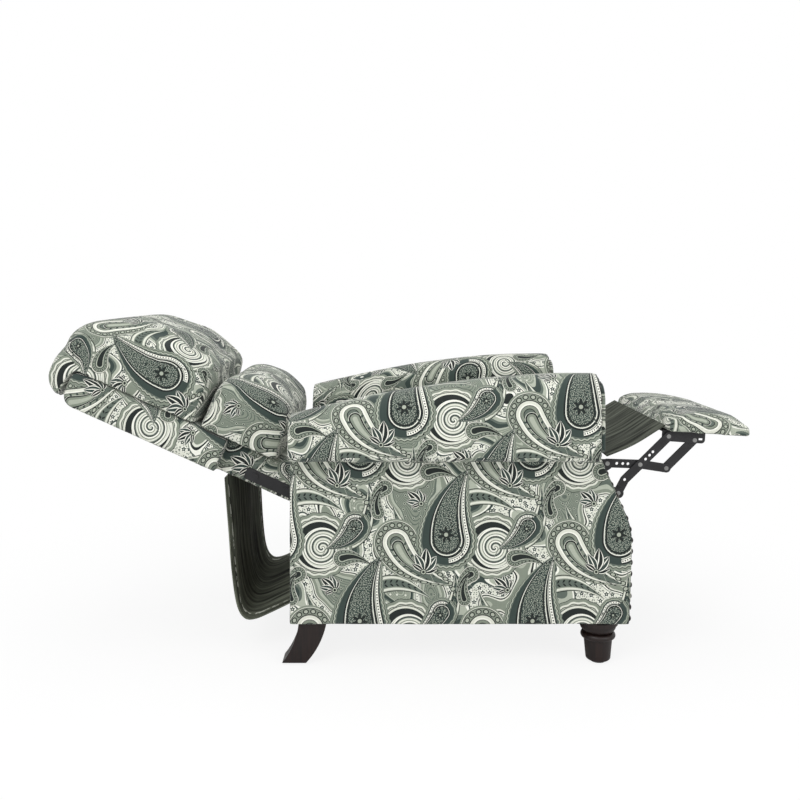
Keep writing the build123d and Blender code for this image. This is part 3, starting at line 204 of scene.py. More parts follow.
class Sheet(Nodes):
    """A node tree that paints on the first two coordinates of a vector, in metres."""

    def __init__(self, tree: Tree, vector: Socket) -> None:
        """Split the vector into its two coordinates."""
        super().__init__(tree)
        self.vector = vector
        split = self.add("ShaderNodeSeparateXYZ", (vector,))
        self.u = Signal(tree, split.outputs[0])
        self.v = Signal(tree, split.outputs[1])
        self.color: Paint = CREAM

    def ramp(self, value: Signal, stops: Sequence[tuple[float, Color]],
             smooth: bool = False) -> Socket:
        """Bands of colour over a value from 0 to 1.

        Args:
            value: What picks the band.
            stops: Where each band starts, and its colour.
            smooth: Whether the colours run into each other.

        Returns:
            The colour socket.
        """
        node = self.add("ShaderNodeValToRGB", (value.socket,))
        bar = node.color_ramp
        bar.interpolation = "LINEAR" if smooth else "CONSTANT"
        while len(bar.elements) < len(stops):
            bar.elements.new(0.5)
        for element, (place, _) in zip(bar.elements, stops):
            element.position = place
        for element, (_, color) in zip(bar.elements, stops):
            element.color = color
        return node.outputs[0]

    def over(self, base: Paint, paint: Paint, mask: Signal | float, blend: str = "MIX") -> Socket:
        """Lay paint over a base.

        Args:
            base: What lies below.
            paint: What lies on top.
            mask: 1 where the paint shows, 0 where the base does.
            blend: Blender's name of the way they mix.

        Returns:
            The mixed colour.
        """
        factor = mask.socket if isinstance(mask, Signal) else mask
        node = self.add("ShaderNodeMix", (factor,), data_type="RGBA", blend_type=blend)
        self.feed(node.inputs[MIX_A], base)
        self.feed(node.inputs[MIX_B], paint)
        return node.outputs[MIX_RESULT]

    def lay(self, paint: Paint, mask: Signal) -> None:
        """Lay paint over what is painted so far."""
        self.color = self.over(self.color, paint, mask)

    def cells(self, scale: float, randomness: float = 1.0) -> tuple[Signal, Socket]:
        """Scattered points.

        Args:
            scale: Points in a metre.
            randomness: How far they leave an even grid, 0 to 1.

        Returns:
            The distance in metres to the nearest point, and its place.
        """
        node = self.add("ShaderNodeTexVoronoi", (self.vector,), voronoi_dimensions="2D")
        node.inputs["Scale"].default_value = scale
        node.inputs["Randomness"].default_value = randomness
        return Signal(self.tree, node.outputs["Distance"]) / scale, node.outputs["Position"]

    def noise(self, scale: float, detail: float = 0.0, stretch: tuple[float, float, float] = EVEN) -> Signal:
        """Smooth noise.

        Args:
            scale: Waves in a metre.
            detail: Layers of finer noise on top.
            stretch: Factor on the scale along each axis.

        Returns:
            A value from 0 to 1.
        """
        vector = self.vector
        if stretch != EVEN:
            vector = self.add("ShaderNodeMapping", (vector, None, None, stretch)).outputs[0]
        node = self.add("ShaderNodeTexNoise", (vector,), noise_dimensions="3D")
        node.inputs["Scale"].default_value = scale
        node.inputs["Detail"].default_value = detail
        return Signal(self.tree, node.outputs[0])


INK = tone(27, 33, 31)
SLATE = tone(50, 62, 58)
MOSS = tone(86, 96, 88)
SAGE = tone(122, 130, 117)
MIST = tone(160, 166, 152)
CREAM = tone(205, 207, 195)
WHITE = tone(222, 223, 213)


@dataclass(frozen=True)
class Spot:
    """A motif's place in the repeat in metres, its turn in degrees and how far its middle lies aside."""

    x: float
    y: float
    turn: float = 0.0
    aside: float = 0.0


class Paisley(Sheet):
    """Paisley print in sage, slate and cream, on a half-drop repeat."""

    ACROSS = 0.38          # width of the repeat
    UP = 0.38              # height of the repeat
    BEND = 2.4             # how late the tip of a boteh bends
    THIN = 0.0006          # least half width of a boteh
    LOW_HEART = 0.36       # cloud value below which the low clouds are hatched
    HIGH_HEART = 0.67      # cloud value above which the high clouds are hatched

    def place(self, spot: Spot) -> tuple[Signal, Signal]:
        """Coordinates from the nearest copy of a motif, in columns that drop by half.

        Args:
            spot: The motif's place and turn.

        Returns:
            The coordinates across and along the motif.
        """
        u = self.u - spot.x
        v = self.v - spot.y
        column = ((u - spot.aside) / (self.ACROSS / 2)).round()
        odd = (column * 0.5).fract() * 2
        x = u - column * (self.ACROSS / 2)
        v = v - odd * (self.UP / 2)
        y = v - (v / self.UP).round() * self.UP
        c, s = math.cos(math.radians(spot.turn)), math.sin(math.radians(spot.turn))
        return x * c + y * s, y * c - x * s

    def boteh(self, x: Signal, y: Signal, radius: float, height: float, hook: float, bulge: float = 0.45,
              tip: float = 0.8) -> tuple[Signal, Signal, Signal, Signal]:
        """A drop with a bent tip.

        Args:
            x: Coordinate across.
            y: Coordinate along, from the middle of the head.
            radius: Radius of the head.
            height: Head to tip.
            hook: How far the tip bends aside.
            bulge: How full the drop is above its head.
            tip: How fast it closes.

        Returns:
            The share of the way out to the edge, the run along the edge, the half width and the
            offset from the spine.
        """
        t = (y / height).high(0.0).low(1.0)
        dx = x - t ** self.BEND * hook
        width = ((1 - t) ** tip * (t * bulge + 1) * radius).high(self.THIN)
        under = y.low(0.0)
        rho = dx.hypot(under) / width
        arc = dx.abs().angle(under * -1.0) * radius + y.high(0.0)
        return rho, arc, width, dx

    def ground(self) -> None:
        """Cream ground with florets between banded sage clouds."""
        florets, centre = self.cells(58.0, 0.7)
        away = self.add("ShaderNodeVectorMath", (self.vector, centre), operation="SUBTRACT")
        split = self.add("ShaderNodeSeparateXYZ", (away.outputs[0],))
        turn = Signal(self.tree, split.outputs[0]).angle(Signal(self.tree, split.outputs[1]))
        petal = (turn * 5).cos() * 0.0011 + 0.0043
        specks, _ = self.cells(190.0, 0.9)
        self.color = self.over(CREAM, MOSS, specks < 0.0013)
        self.lay(WHITE, florets < 0.0062)
        self.lay(SLATE, (florets - petal) < 0.0)
        self.lay(CREAM, florets < 0.0013)
        cloud = self.noise(9.0, 0.5)
        low = [(0.0, SAGE), (self.LOW_HEART, MOSS), (0.375, MIST), (0.40, SAGE), (0.43, CREAM), (0.445, INK),
               (0.455, WHITE), (0.468, MOSS)]
        self.lay(self.ramp(cloud, low), cloud < 0.474)
        high = [(0.0, SLATE), (0.56, WHITE), (0.572, MIST), (0.60, MOSS), (0.62, SLATE), (0.655, MIST),
                (self.HIGH_HEART, SAGE)]
        self.lay(self.ramp(cloud, high), cloud > 0.552)
        hatch = (cloud * 62.0).beat() < 0.15
        self.lay(MOSS, hatch * (cloud < self.LOW_HEART))
        self.lay(MIST, hatch * (cloud > self.HIGH_HEART))
        spots, _ = self.cells(64.0, 0.5)
        ring = self.ramp(spots * 100, [(0.0, INK), (0.16, MIST), (0.30, MOSS)])
        self.lay(ring, (spots < 0.0038) * (cloud < self.LOW_HEART))
        self.lay(CREAM, (spots < 0.0022) * (cloud > self.HIGH_HEART))

    def dark_boteh(self, spot: Spot, size: float = 1.0) -> None:
        """Dark boteh with a stippled heart, nested outlines and a scalloped border.

        Args:
            spot: Its place.
            size: Its scale.
        """
        x, y = self.place(spot)
        rho, arc, _, dx = self.boteh(x, y, 0.054 * size, 0.150 * size, 0.062 * size)
        edge = rho + (arc * (2 * math.pi / 0.0120)).cos() * 0.022
        rim = [(0.0, MOSS), (0.80, MIST), (0.845, INK), (0.87, SAGE), (0.93, MOSS)]
        self.lay(self.ramp(edge * 0.75, rim), edge < 1.27)
        bands = [(0.0, INK), (0.60, WHITE), (0.64, INK), (0.74, CREAM), (0.77, SLATE), (0.80, WHITE),
                 (0.93, INK)]
        self.lay(self.ramp(rho, bands), rho < 1.0)
        dots = (arc / 0.0064).beat()
        self.lay(INK, (dots < 0.22) * rho.near(0.865, 0.03))
        side = (dx < 0.0) * (rho < 0.99) * (rho > 0.72)
        self.lay(SLATE, side)
        stipple, _ = self.cells(330.0)
        heart = rho < 0.60
        self.lay(SLATE, heart)
        self.lay(MIST, heart * (stipple < 0.00085))
        self.lay(INK, heart * rho.near(0.53, 0.04))
        rise = y - 0.012 * size
        star = (dx.angle(rise) * 7).cos() * (0.005 * size) + 0.013 * size
        r = dx.hypot(rise)
        self.lay(INK, heart * ((r - star) < 0.0))
        self.lay(MIST, heart * (r < 0.0045 * size))

    def bead_boteh(self, spot: Spot, radius: float = 0.032, height: float = 0.135, hook: float = -0.07) -> None:
        """Sage boteh with a cream outline, a ring of beads and a bud inside.

        Args:
            spot: Its place.
            radius: Radius of its head.
            height: Head to tip.
            hook: How far the tip bends aside.
        """
        x, y = self.place(spot)
        rho, arc, width, _ = self.boteh(x, y, radius, height, hook, 0.6, 0.7)
        rim = [(0.0, SAGE), (0.70, INK), (0.725, CREAM), (0.75, SAGE)]
        self.lay(self.ramp(rho * 0.5, rim), rho < 1.62)
        bands = [(0.0, MOSS), (0.36, INK), (0.42, SAGE), (0.60, INK), (0.64, WHITE), (0.74, CREAM),
                 (0.92, INK)]
        self.lay(self.ramp(rho, bands), rho < 0.99)
        pitch = 0.0135
        run = ((arc / pitch).fract() - 0.5) * pitch
        bead = run.hypot((rho - 1.2) * width)
        self.lay(INK, bead < 0.0056)
        self.lay(MIST, bead < 0.0036)
        bud, _, _, _ = self.boteh(x, y - 0.01, radius * 0.46, height * 0.62, hook * 0.55, 0.5)
        self.lay(self.ramp(bud, [(0.0, MIST), (0.35, SAGE), (0.70, INK), (0.92, CREAM)]), bud < 0.99)
        vein = ((arc + rho * 0.012) / 0.015).beat()
        self.lay(SLATE, (vein < 0.16) * rho.near(0.51, 0.08) * (y > 0.0))

    def spiral(self, spot: Spot, size: float = 1.0) -> None:
        """Spiral medallion with a dark crescent and a wavy collar.

        Args:
            spot: Its place.
            size: Its scale.
        """
        x, y = self.place(spot)
        r = x.hypot(y) / size
        angle = y.angle(x)
        collar = r + (angle * 16).cos() * 0.0012
        rings = [(0.0, MIST), (0.60, INK), (0.615, CREAM), (0.66, SAGE), (0.72, INK)]
        self.lay(self.ramp(collar * 10, rings), collar < 0.0735)
        self.lay(self.ramp(r * 10, [(0.0, INK), (0.52, CREAM), (0.57, INK), (0.585, MIST)]), r < 0.0595)
        xo = x / size - 0.006
        yo = y / size + 0.005
        ro = xo.hypot(yo)
        turns = (yo.angle(xo) * (1 / (2 * math.pi)) + ro * 72.0).fract()
        bands = [(0.0, INK), (0.13, WHITE), (0.38, SAGE), (0.52, CREAM), (0.82, MOSS)]
        self.lay(self.ramp(turns, bands), ro < 0.043)
        self.lay(WHITE, ro.near(0.0436, 0.0011))

    def crescent(self, spot: Spot, length: float, width: float, hook: float, dark: bool = False) -> None:
        """Long curved leaf with pale edges and a veined middle.

        Args:
            spot: Its place.
            length: Half its length.
            width: Half its width.
            hook: How far it bends aside.
            dark: Whether it is slate, not moss.
        """
        x, y = self.place(spot)
        t = (y / length).low(1.0).high(-1.0)
        body = ((1 - t * t) * width).high(0.0004)
        rho = ((x - (t * t - 0.5) * hook) / body).abs()
        heart, rim = (SLATE, INK) if dark else (MOSS, SAGE)
        bands = [(0.0, heart), (0.42, rim), (0.55, CREAM), (0.80, MIST), (0.88, INK)]
        self.lay(self.ramp(rho, bands), rho < 0.99)
        vein = ((y + rho * 0.012) / 0.0125).beat()
        self.lay(SAGE if dark else INK, (vein < 0.16) * (rho < 0.40) * (rho > 0.06))

    def comma(self, spot: Spot, radius: float = 0.021, height: float = 0.055, hook: float = 0.034) -> None:
        """Small dotted comma.

        Args:
            spot: Its place.
            radius: Radius of its head.
            height: Head to tip.
            hook: How far the tip bends aside.
        """
        x, y = self.place(spot)
        rho, arc, width, _ = self.boteh(x, y, radius, height, hook, 0.4)
        bands = [(0.0, INK), (0.30, MIST), (0.42, SLATE), (0.52, SAGE), (0.80, INK), (0.86, CREAM),
                 (0.95, INK)]
        self.lay(self.ramp(rho, bands), rho < 0.99)
        pitch = 0.0082
        run = ((arc / pitch).fract() - 0.5) * pitch
        self.lay(INK, run.hypot((rho - 0.66) * width) < 0.0016)

    def sprig(self, spot: Spot, size: float = 1.0) -> None:
        """Five leaves and an eye fanned from one stem.

        Args:
            spot: Its place.
            size: Its scale.
        """
        x, y = self.place(spot)
        leaves = ((-62, 0.036, INK), (-29, 0.050, SLATE), (4, 0.058, INK), (36, 0.048, SLATE),
                  (66, 0.034, INK))
        for turn, length, paint in leaves:
            c, s = math.cos(math.radians(turn)), math.sin(math.radians(turn))
            reach = length * size
            t = (y * c - x * s) / reach
            body = ((t - t * t) * (reach * 0.85)).high(0.0002)
            rho = (x * c + y * s + t * t * (reach * 0.16)).abs() / body
            bands = [(0.0, WHITE), (0.10, paint), (0.66, WHITE), (0.86, INK)]
            self.lay(self.ramp(rho * 0.8, bands), (rho < 1.2) * t.near(0.5, 0.5))
        r = x.hypot(y)
        self.lay(self.ramp(r * 100, [(0.0, INK), (0.28, MIST), (0.52, INK)]), r < 0.0066)

    def draw(self) -> Paint:
        """Paint the whole repeat.

        Returns:
            Its colour.
        """
        self.ground()
        self.crescent(Spot(0.110, 0.100, 62.0), 0.098, 0.024, 0.055)
        self.crescent(Spot(-0.055, 0.120, -38.0), 0.095, 0.020, -0.05, True)
        self.crescent(Spot(0.030, -0.030, 100.0), 0.090, 0.019, -0.05)
        self.spiral(Spot(0.066, -0.112))
        self.bead_boteh(Spot(0.045, 0.085, 205.0, 0.035))
        self.dark_boteh(Spot(-0.034, -0.100, 6.0))
        self.dark_boteh(Spot(-0.045, 0.120, 150.0, 0.02), 0.50)
        self.comma(Spot(-0.074, 0.050, -70.0))
        self.comma(Spot(0.020, -0.175, 120.0), 0.019, 0.055, -0.03)
        self.comma(Spot(0.005, 0.150, 20.0), 0.016, 0.05, 0.03)
        self.sprig(Spot(0.105, 0.020, -20.0), 0.9)
        self.sprig(Spot(-0.090, -0.020, 35.0), 0.7)
        return self.color


def new_group(name: str, outputs: dict[str, str]
              ) -> tuple[Tree, Socket, Node]:
    """An empty shader node group with a vector input.

    Args:
        name: Name of the group.
        outputs: Output names with their socket types.

    Returns:
        The tree, its vector socket and its output node.
    """
    tree = bpy.data.node_groups.new(name, "ShaderNodeTree")
    tree.interface.new_socket("Vector", in_out="INPUT", socket_type="NodeSocketVector")
    for label, kind in outputs.items():
        tree.interface.new_socket(label, in_out="OUTPUT", socket_type=kind)
    return tree, tree.nodes.new("NodeGroupInput").outputs[0], tree.nodes.new("NodeGroupOutput")


def print_group() -> Tree:
    """The paisley print as a node group.

    Returns:
        The group.
    """
    tree, vector, out = new_group("paisley_print", {"Color": "NodeSocketColor"})
    tree.links.new(Paisley(tree, vector).draw(), out.inputs["Color"])
    return tree


def weave_group() -> Tree:
    """A plain weave: thread height and a small change of shade from thread to thread.

    Returns:
        The group.
    """
    tree, vector, out = new_group("plain_weave", {"Height": "NodeSocketFloat", "Shade": "NodeSocketFloat"})
    sheet = Sheet(tree, vector)
    pitch = 0.0011
    warp = (sheet.u * (math.pi / pitch)).cos()
    weft = (sheet.v * (math.pi / pitch)).cos()
    tree.links.new((warp * weft * 0.5 + 0.5).socket, out.inputs["Height"])
    slub = sheet.noise(300.0, 1.0, (1.0, 0.12, 1.0)) * 0.5 + sheet.noise(300.0, 1.0, (0.12, 1.0, 1.0)) * 0.5
    tree.links.new((slub * 0.30 + 0.85).socket, out.inputs["Shade"])
    return tree


def streak_group() -> Tree:
    """Long uneven streaks along the first coordinate.

    Returns:
        The group.
    """
    tree, vector, out = new_group("streaks", {"Value": "NodeSocketFloat"})
    sheet = Sheet(tree, vector)
    coarse = sheet.noise(60.0, 3.0, (0.10, 1.0, 1.0))
    fine = sheet.noise(330.0, 2.0, (0.05, 1.0, 1.0))
    tree.links.new((coarse * 0.7 + fine * 0.3).socket, out.inputs["Value"])
    return tree


def wear_group() -> Tree:
    """Slow mottling and fine grain for hard finishes.

    Returns:
        The group.
    """
    tree, vector, out = new_group("mottle", {"Slow": "NodeSocketFloat", "Grain": "NodeSocketFloat"})
    sheet = Sheet(tree, vector)
    tree.links.new(sheet.noise(28.0, 3.0).socket, out.inputs["Slow"])
    tree.links.new(sheet.noise(900.0, 2.0).socket, out.inputs["Grain"])
    return tree


class Groups:
    """The shared node groups, built once."""

    def __init__(self) -> None:
        """Build them."""
        self.paisley = print_group()
        self.weave = weave_group()
        self.streaks = streak_group()
        self.mottle = wear_group()


class Coords(Enum):
    """What a finish is laid out on."""

    CLOTH = "UV"
    SOLID = "Object"


class Look(Sheet):
    """A material's tree with its shader and the shared groups."""

    THREAD = 0.00012       # height of a thread

    def __init__(self, tree: Tree, coords: Coords, groups: Groups) -> None:
        """Find the shader and lay out its coordinates."""
        super().__init__(tree, tree.nodes.new("ShaderNodeTexCoord").outputs[coords.value])
        self.shader = tree.nodes["Principled BSDF"]
        self.groups = groups

    def set(self, name: str, value: object) -> None:
        """Feed one input of the shader."""
        self.feed(self.shader.inputs[name], value)

    def use(self, group: Tree) -> Node:
        """Place a shared group in the material."""
        return self.add("ShaderNodeGroup", (self.vector,), node_tree=group)

    def bump(self, height: Socket, depth: float) -> None:
        """Let a height shape the shader's normal.

        Args:
            height: The height, 0 to 1.
            depth: What a height of 1 stands for, in metres.
        """
        node = self.add("ShaderNodeBump")
        node.inputs["Strength"].default_value = 1.0
        node.inputs["Distance"].default_value = depth
        self.feed(node.inputs["Height"], height)
        self.set("Normal", node.outputs[0])

    def weave(self) -> Node:
        """Place the weave and let its threads stand out.

        Returns:
            Its node.
        """
        node = self.use(self.groups.weave)
        self.bump(node.outputs["Height"], self.THREAD)
        return node


@dataclass(frozen=True)
class Finish:
    """A finish: its name, the constants of its shader and what it is laid out on."""

    name: str
    roughness: float
    metallic: float = 0.0
    sheen: float = 0.0
    coat: float = 0.0
    specular: float = 0.5
    coords: Coords = Coords.SOLID

    def build(self, groups: Groups) -> Material:
        """Make the material.

        Args:
            groups: The shared node groups.

        Returns:
            The material.
        """
        material = bpy.data.materials.new(self.name)
        material.use_nodes = True
        look = Look(material.node_tree, self.coords, groups)
        constants = {"Roughness": self.roughness, "Metallic": self.metallic, "Sheen Weight": self.sheen,
                     "Coat Weight": self.coat, "Specular IOR Level": self.specular}
        for name, value in constants.items():
            look.set(name, value)
        self.paint(look)
        return material

    def paint(self, look: Look) -> None:
        """Feed the shader, which each kind of finish does in its own way."""
        raise NotImplementedError


@dataclass(frozen=True)
class PrintedCloth(Finish):
    """Printed upholstery cloth."""

    def paint(self, look: Look) -> None:
        """Lay the print on a weave.

        Args:
            look: The material's tree.
        """
        weave = look.weave()
        paisley = look.use(look.groups.paisley)
        look.set("Base Color", look.over(paisley.outputs["Color"], weave.outputs["Shade"], 1.0, "MULTIPLY"))


@dataclass(frozen=True)
class TwoTone(Finish):
    """A finish that goes from a dark to a pale colour."""

    dark: Color = INK
    pale: Color = MOSS

    def tint(self, look: Look, value: Signal, start: float, end: float) -> Socket:
        """The colour that is dark up to one value and pale from another."""
        return look.ramp(value, [(start, self.dark), (end, self.pale)], smooth=True)


@dataclass(frozen=True)
class StreakyCloth(TwoTone):
    """Plain cloth with streaks along it, and stitches at a distance from its middle."""

    hem_at: float = 1.0          # beyond every piece, so no stitches show
    hem: Color = MIST
    stitch: float = 0.004

    def paint(self, look: Look) -> None:
        """Lay streaks and a broken line of stitches on a weave.

        Args:
            look: The material's tree.
        """
        streaks = Signal(look.tree, look.use(look.groups.streaks).outputs["Value"])
        color = self.tint(look, streaks, 0.38, 0.64)
        stitches = look.v.abs().near(self.hem_at, self.stitch) * (look.noise(42.0, 2.0) > 0.5)
        look.set("Base Color", look.over(color, self.hem, stitches))
        look.weave()


@dataclass(frozen=True)
class Grained(TwoTone):
    """Wood with its grain along one axis."""

    stretch: tuple[float, float, float] = (0.05, 1.0, 1.0)

    def paint(self, look: Look) -> None:
        """Lay the grain in colour, roughness and relief.

        Args:
            look: The material's tree.
        """
        grain = look.noise(160.0, 4.0, self.stretch)
        look.set("Base Color", self.tint(look, grain, 0.3, 0.7))
        look.set("Roughness", (grain * 0.2 + (self.roughness - 0.1)).socket)
        look.bump(grain.socket, 0.0002)


@dataclass(frozen=True)
class Mottled(TwoTone):
    """Painted or plated metal and moulded plastic."""

    def paint(self, look: Look) -> None:
        """Lay slow mottling in colour and roughness, and a fine grain.

        Args:
            look: The material's tree.
        """
        mottle = look.use(look.groups.mottle)
        slow = Signal(look.tree, mottle.outputs["Slow"])
        look.set("Base Color", self.tint(look, slow, 0.3, 0.72))
        look.set("Roughness", (slow * 0.24 + (self.roughness - 0.12)).socket)
        look.bump(mottle.outputs["Grain"], 0.00004)


FINISHES = {
    "print": PrintedCloth("printed_cloth", 0.85, sheen=0.15, specular=0.25, coords=Coords.CLOTH),
    "skirt": StreakyCloth("skirt_cloth", 0.92, specular=0.15, coords=Coords.CLOTH, dark=tone(36, 38, 32),
                          pale=tone(122, 127, 112), hem_at=0.214, hem=tone(200, 202, 192)),
    "flap": StreakyCloth("flap_cloth", 0.9, specular=0.15, coords=Coords.CLOTH, dark=tone(20, 22, 18),
                         pale=tone(92, 96, 86)),
    "espresso": Grained("espresso_wood", 0.45, coat=0.08, specular=0.3, dark=tone(15, 8, 7),
                        pale=tone(33, 20, 17), stretch=(1.0, 1.0, 0.06)),
    "bare_wood": Grained("bare_wood", 0.75, dark=tone(104, 78, 52), pale=tone(146, 114, 78)),
    "black_steel": Mottled("black_steel", 0.45, specular=0.35, dark=tone(17, 17, 18), pale=tone(36, 36, 38)),
    "zinc": Mottled("zinc", 0.40, metallic=0.9, dark=tone(96, 96, 95), pale=tone(150, 150, 148)),
    "bronze": Mottled("nail_bronze", 0.34, metallic=0.85, dark=tone(36, 32, 29), pale=tone(84, 77, 70)),
    "webbing": StreakyCloth("webbing", 0.95, specular=0.1, dark=tone(74, 62, 48), pale=tone(128, 112, 92)),
    "glide": Mottled("glide_plastic", 0.5, dark=tone(28, 28, 28), pale=tone(48, 48, 48)),
}


def make_materials() -> dict[str, Material]:
    """Every finish of the chair as a material."""
    groups = Groups()
    return {key: finish.build(groups) for key, finish in FINISHES.items()}


def link(name: str, mesh: Mesh) -> Piece:
    """A new object at the origin that shows a mesh.

    Args:
        name: Its name.
        mesh: The mesh.

    Returns:
        The object.
    """
    piece = bpy.data.objects.new(name, mesh)
    bpy.context.scene.collection.objects.link(piece)
    return piece


def evaluated(piece: Piece) -> Mesh:
    """A copy of a piece's mesh with its modifiers applied."""
    graph = bpy.context.evaluated_depsgraph_get()
    return bpy.data.meshes.new_from_object(piece.evaluated_get(graph))


def settle(piece: Piece) -> None:
    """Apply a piece's modifiers to its mesh.

    Args:
        piece: The piece.
    """
    mesh = evaluated(piece)
    piece.modifiers.clear()
    old = piece.data
    piece.data = mesh
    bpy.data.meshes.remove(old)


def rows_of(items: bpy.types.bpy_prop_collection, label: str) -> Rows:
    """A vector of each vertex or face of a mesh, as rows.

    Args:
        items: The vertices or faces.
        label: Blender's name of the vector.

    Returns:
        Three numbers a row.
    """
    flat = np.empty(len(items) * 3)
    items.foreach_get(label, flat)
    return flat.reshape(-1, 3)


def points_of(piece: Piece) -> Rows:
    """Vertex places of a piece as rows."""
    return rows_of(piece.data.vertices, "co")


def set_points(piece: Piece, rows: Rows) -> None:
    """Write vertex places back to a piece."""
    piece.data.vertices.foreach_set("co", rows.ravel())
    piece.data.update()


def normals_of(piece: Piece) -> Rows:
    """Vertex normals of a piece as rows."""
    return rows_of(piece.data.vertices, "normal")


def corners_of(mesh: Mesh) -> Rows:
    """The vertex at each face corner of a mesh."""
    rows = np.empty(len(mesh.loops), int)
    mesh.loops.foreach_get("vertex_index", rows)
    return rows


def set_cloth(mesh: Mesh, rows: Rows) -> None:
    """Write cloth coordinates in metres, two a corner."""
    mesh.uv_layers.new(name="cloth").data.foreach_set("uv", rows.ravel())


def grid_mesh(name: str, segments: int, size: float) -> Mesh:
    """A flat square grid.

    Args:
        name: Name of the mesh.
        segments: Faces along each side.
        size: Half the side in metres.

    Returns:
        The mesh.
    """
    shape = bmesh.new()
    bmesh.ops.create_grid(shape, x_segments=segments, y_segments=segments, size=size)
    mesh = bpy.data.meshes.new(name)
    shape.to_mesh(mesh)
    shape.free()
    return mesh


def copy_node(node: str, name: str, voxel: float,
              edit: Callable[[bmesh.types.BMesh], None] | None = None) -> Piece:
    """A copy of a CAD node with even faces.

    Args:
        node: The CAD node.
        name: Name of the new piece.
        voxel: Face size in metres.
        edit: A change to the shape before its faces are made even.

    Returns:
        The new piece.
    """
    mesh = bpy.data.meshes.new(name)
    shape = bmesh.new()
    shape.from_mesh(frame["nodes"][node].data)
    bmesh.ops.remove_doubles(shape, verts=shape.verts, dist=1e-5)
    if edit:
        edit(shape)
    shape.to_mesh(mesh)
    shape.free()
    piece = link(name, mesh)
    remesh = piece.modifiers.new("even_faces", "REMESH")
    remesh.mode = "VOXEL"
    remesh.voxel_size = voxel
    settle(piece)
    return piece


def soften(piece: Piece, rounds: int) -> None:
    """Smooth a piece's mesh a number of times.

    Args:
        piece: The piece.
        rounds: How many times.
    """
    shape = bmesh.new()
    shape.from_mesh(piece.data)
    for _ in range(rounds):
        bmesh.ops.smooth_vert(shape, verts=shape.verts, factor=0.5, use_axis_x=True, use_axis_y=True,
                              use_axis_z=True)
    shape.to_mesh(piece.data)
    shape.free()


def puff(piece: Piece, pressure: float, cap: float, shrink: Rows, pinned: Rows,
         frames: int = 20) -> None:
    """Blow a piece up with the cloth simulation and keep the result.

    Args:
        piece: The piece, with even faces.
        pressure: Pressure inside it.
        cap: Furthest that a point may move, in metres.
        shrink: How far in each point starts, in metres.
        pinned: True for the points that stay where they are.
        frames: Steps of the simulation.
    """
    start = points_of(piece) - normals_of(piece) * shrink[:, None]
    set_points(piece, start)
    held = piece.vertex_groups.new(name="pinned")
    held.add([int(i) for i in np.flatnonzero(pinned)], 1.0, "REPLACE")
    cloth = piece.modifiers.new("puff", "CLOTH")
    cloth.settings.vertex_group_mass = held.name
    cloth.settings.use_pressure = True
    cloth.settings.uniform_pressure_force = pressure
    cloth.settings.effector_weights.gravity = 0.0
    cloth.settings.quality = 4
    cloth.collision_settings.use_collision = False
    cloth.point_cache.frame_end = frames
    scene = bpy.context.scene
    for step in range(1, frames + 1):
        scene.frame_set(step)
    blown = evaluated(piece)
    move = rows_of(blown.vertices, "co") - start
    reach = np.linalg.norm(move, axis=1, keepdims=True)
    piece.modifiers.clear()
    piece.vertex_groups.clear()
    bpy.data.meshes.remove(blown)
    set_points(piece, start + move * np.minimum(1.0, cap / np.maximum(reach, 1e-9)))
    scene.frame_set(1)


def ripple(piece: Piece, depth: float, size: float,
           where: Callable[[Rows], Rows]) -> None:
    """Add small soft dents along the normals.

    Args:
        piece: The piece.
        depth: Their depth in metres.
        size: Their size in metres.
        where: Weight from 0 to 1 of each vertex row.
    """
    rows = points_of(piece)
    weight = where(rows)
    value = np.array([noise.noise(Vector(row) / size) for row in rows])
    set_points(piece, rows + normals_of(piece) * (depth * weight * value)[:, None])


def map_cloth(piece: Piece, layout: Callable[[Rows, Rows], Rows]) -> None:
    """Give a piece its cloth coordinates in metres.

    Args:
        piece: The piece.
        layout: Takes corner places and their faces' normals, gives two coordinates a corner.
    """
    mesh = piece.data
    totals = np.empty(len(mesh.polygons), int)
    mesh.polygons.foreach_get("loop_total", totals)
    faces = np.hstack([rows_of(mesh.polygons, "normal"), rows_of(mesh.polygons, "center")])
    places = points_of(piece)[corners_of(mesh)]
    set_cloth(mesh, layout(places, np.repeat(faces, totals, axis=0)))


def dress(piece: Piece, material: Material, body: str,
          nodes: Iterable[str]) -> None:
    """Finish a piece.

    Args:
        piece: The piece.
        material: Its material.
        body: The body that it rides.
        slot: Its material slot.
        nodes: The CAD nodes that it stands for.
    """
    piece.data.materials.clear()
    piece.data.materials.append(material)
    piece.data.shade_smooth()
    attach(piece, body)
    for node in nodes:
        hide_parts(node)
    LOG.info("%s on %s, %d faces", piece.name, body, len(piece.data.polygons))


def datum(x: float, z: float, y: float = 0.0) -> Vector:
    """A point from the rear face of the arms, in metres."""
    return Vector((REAR_X + x, y, z))


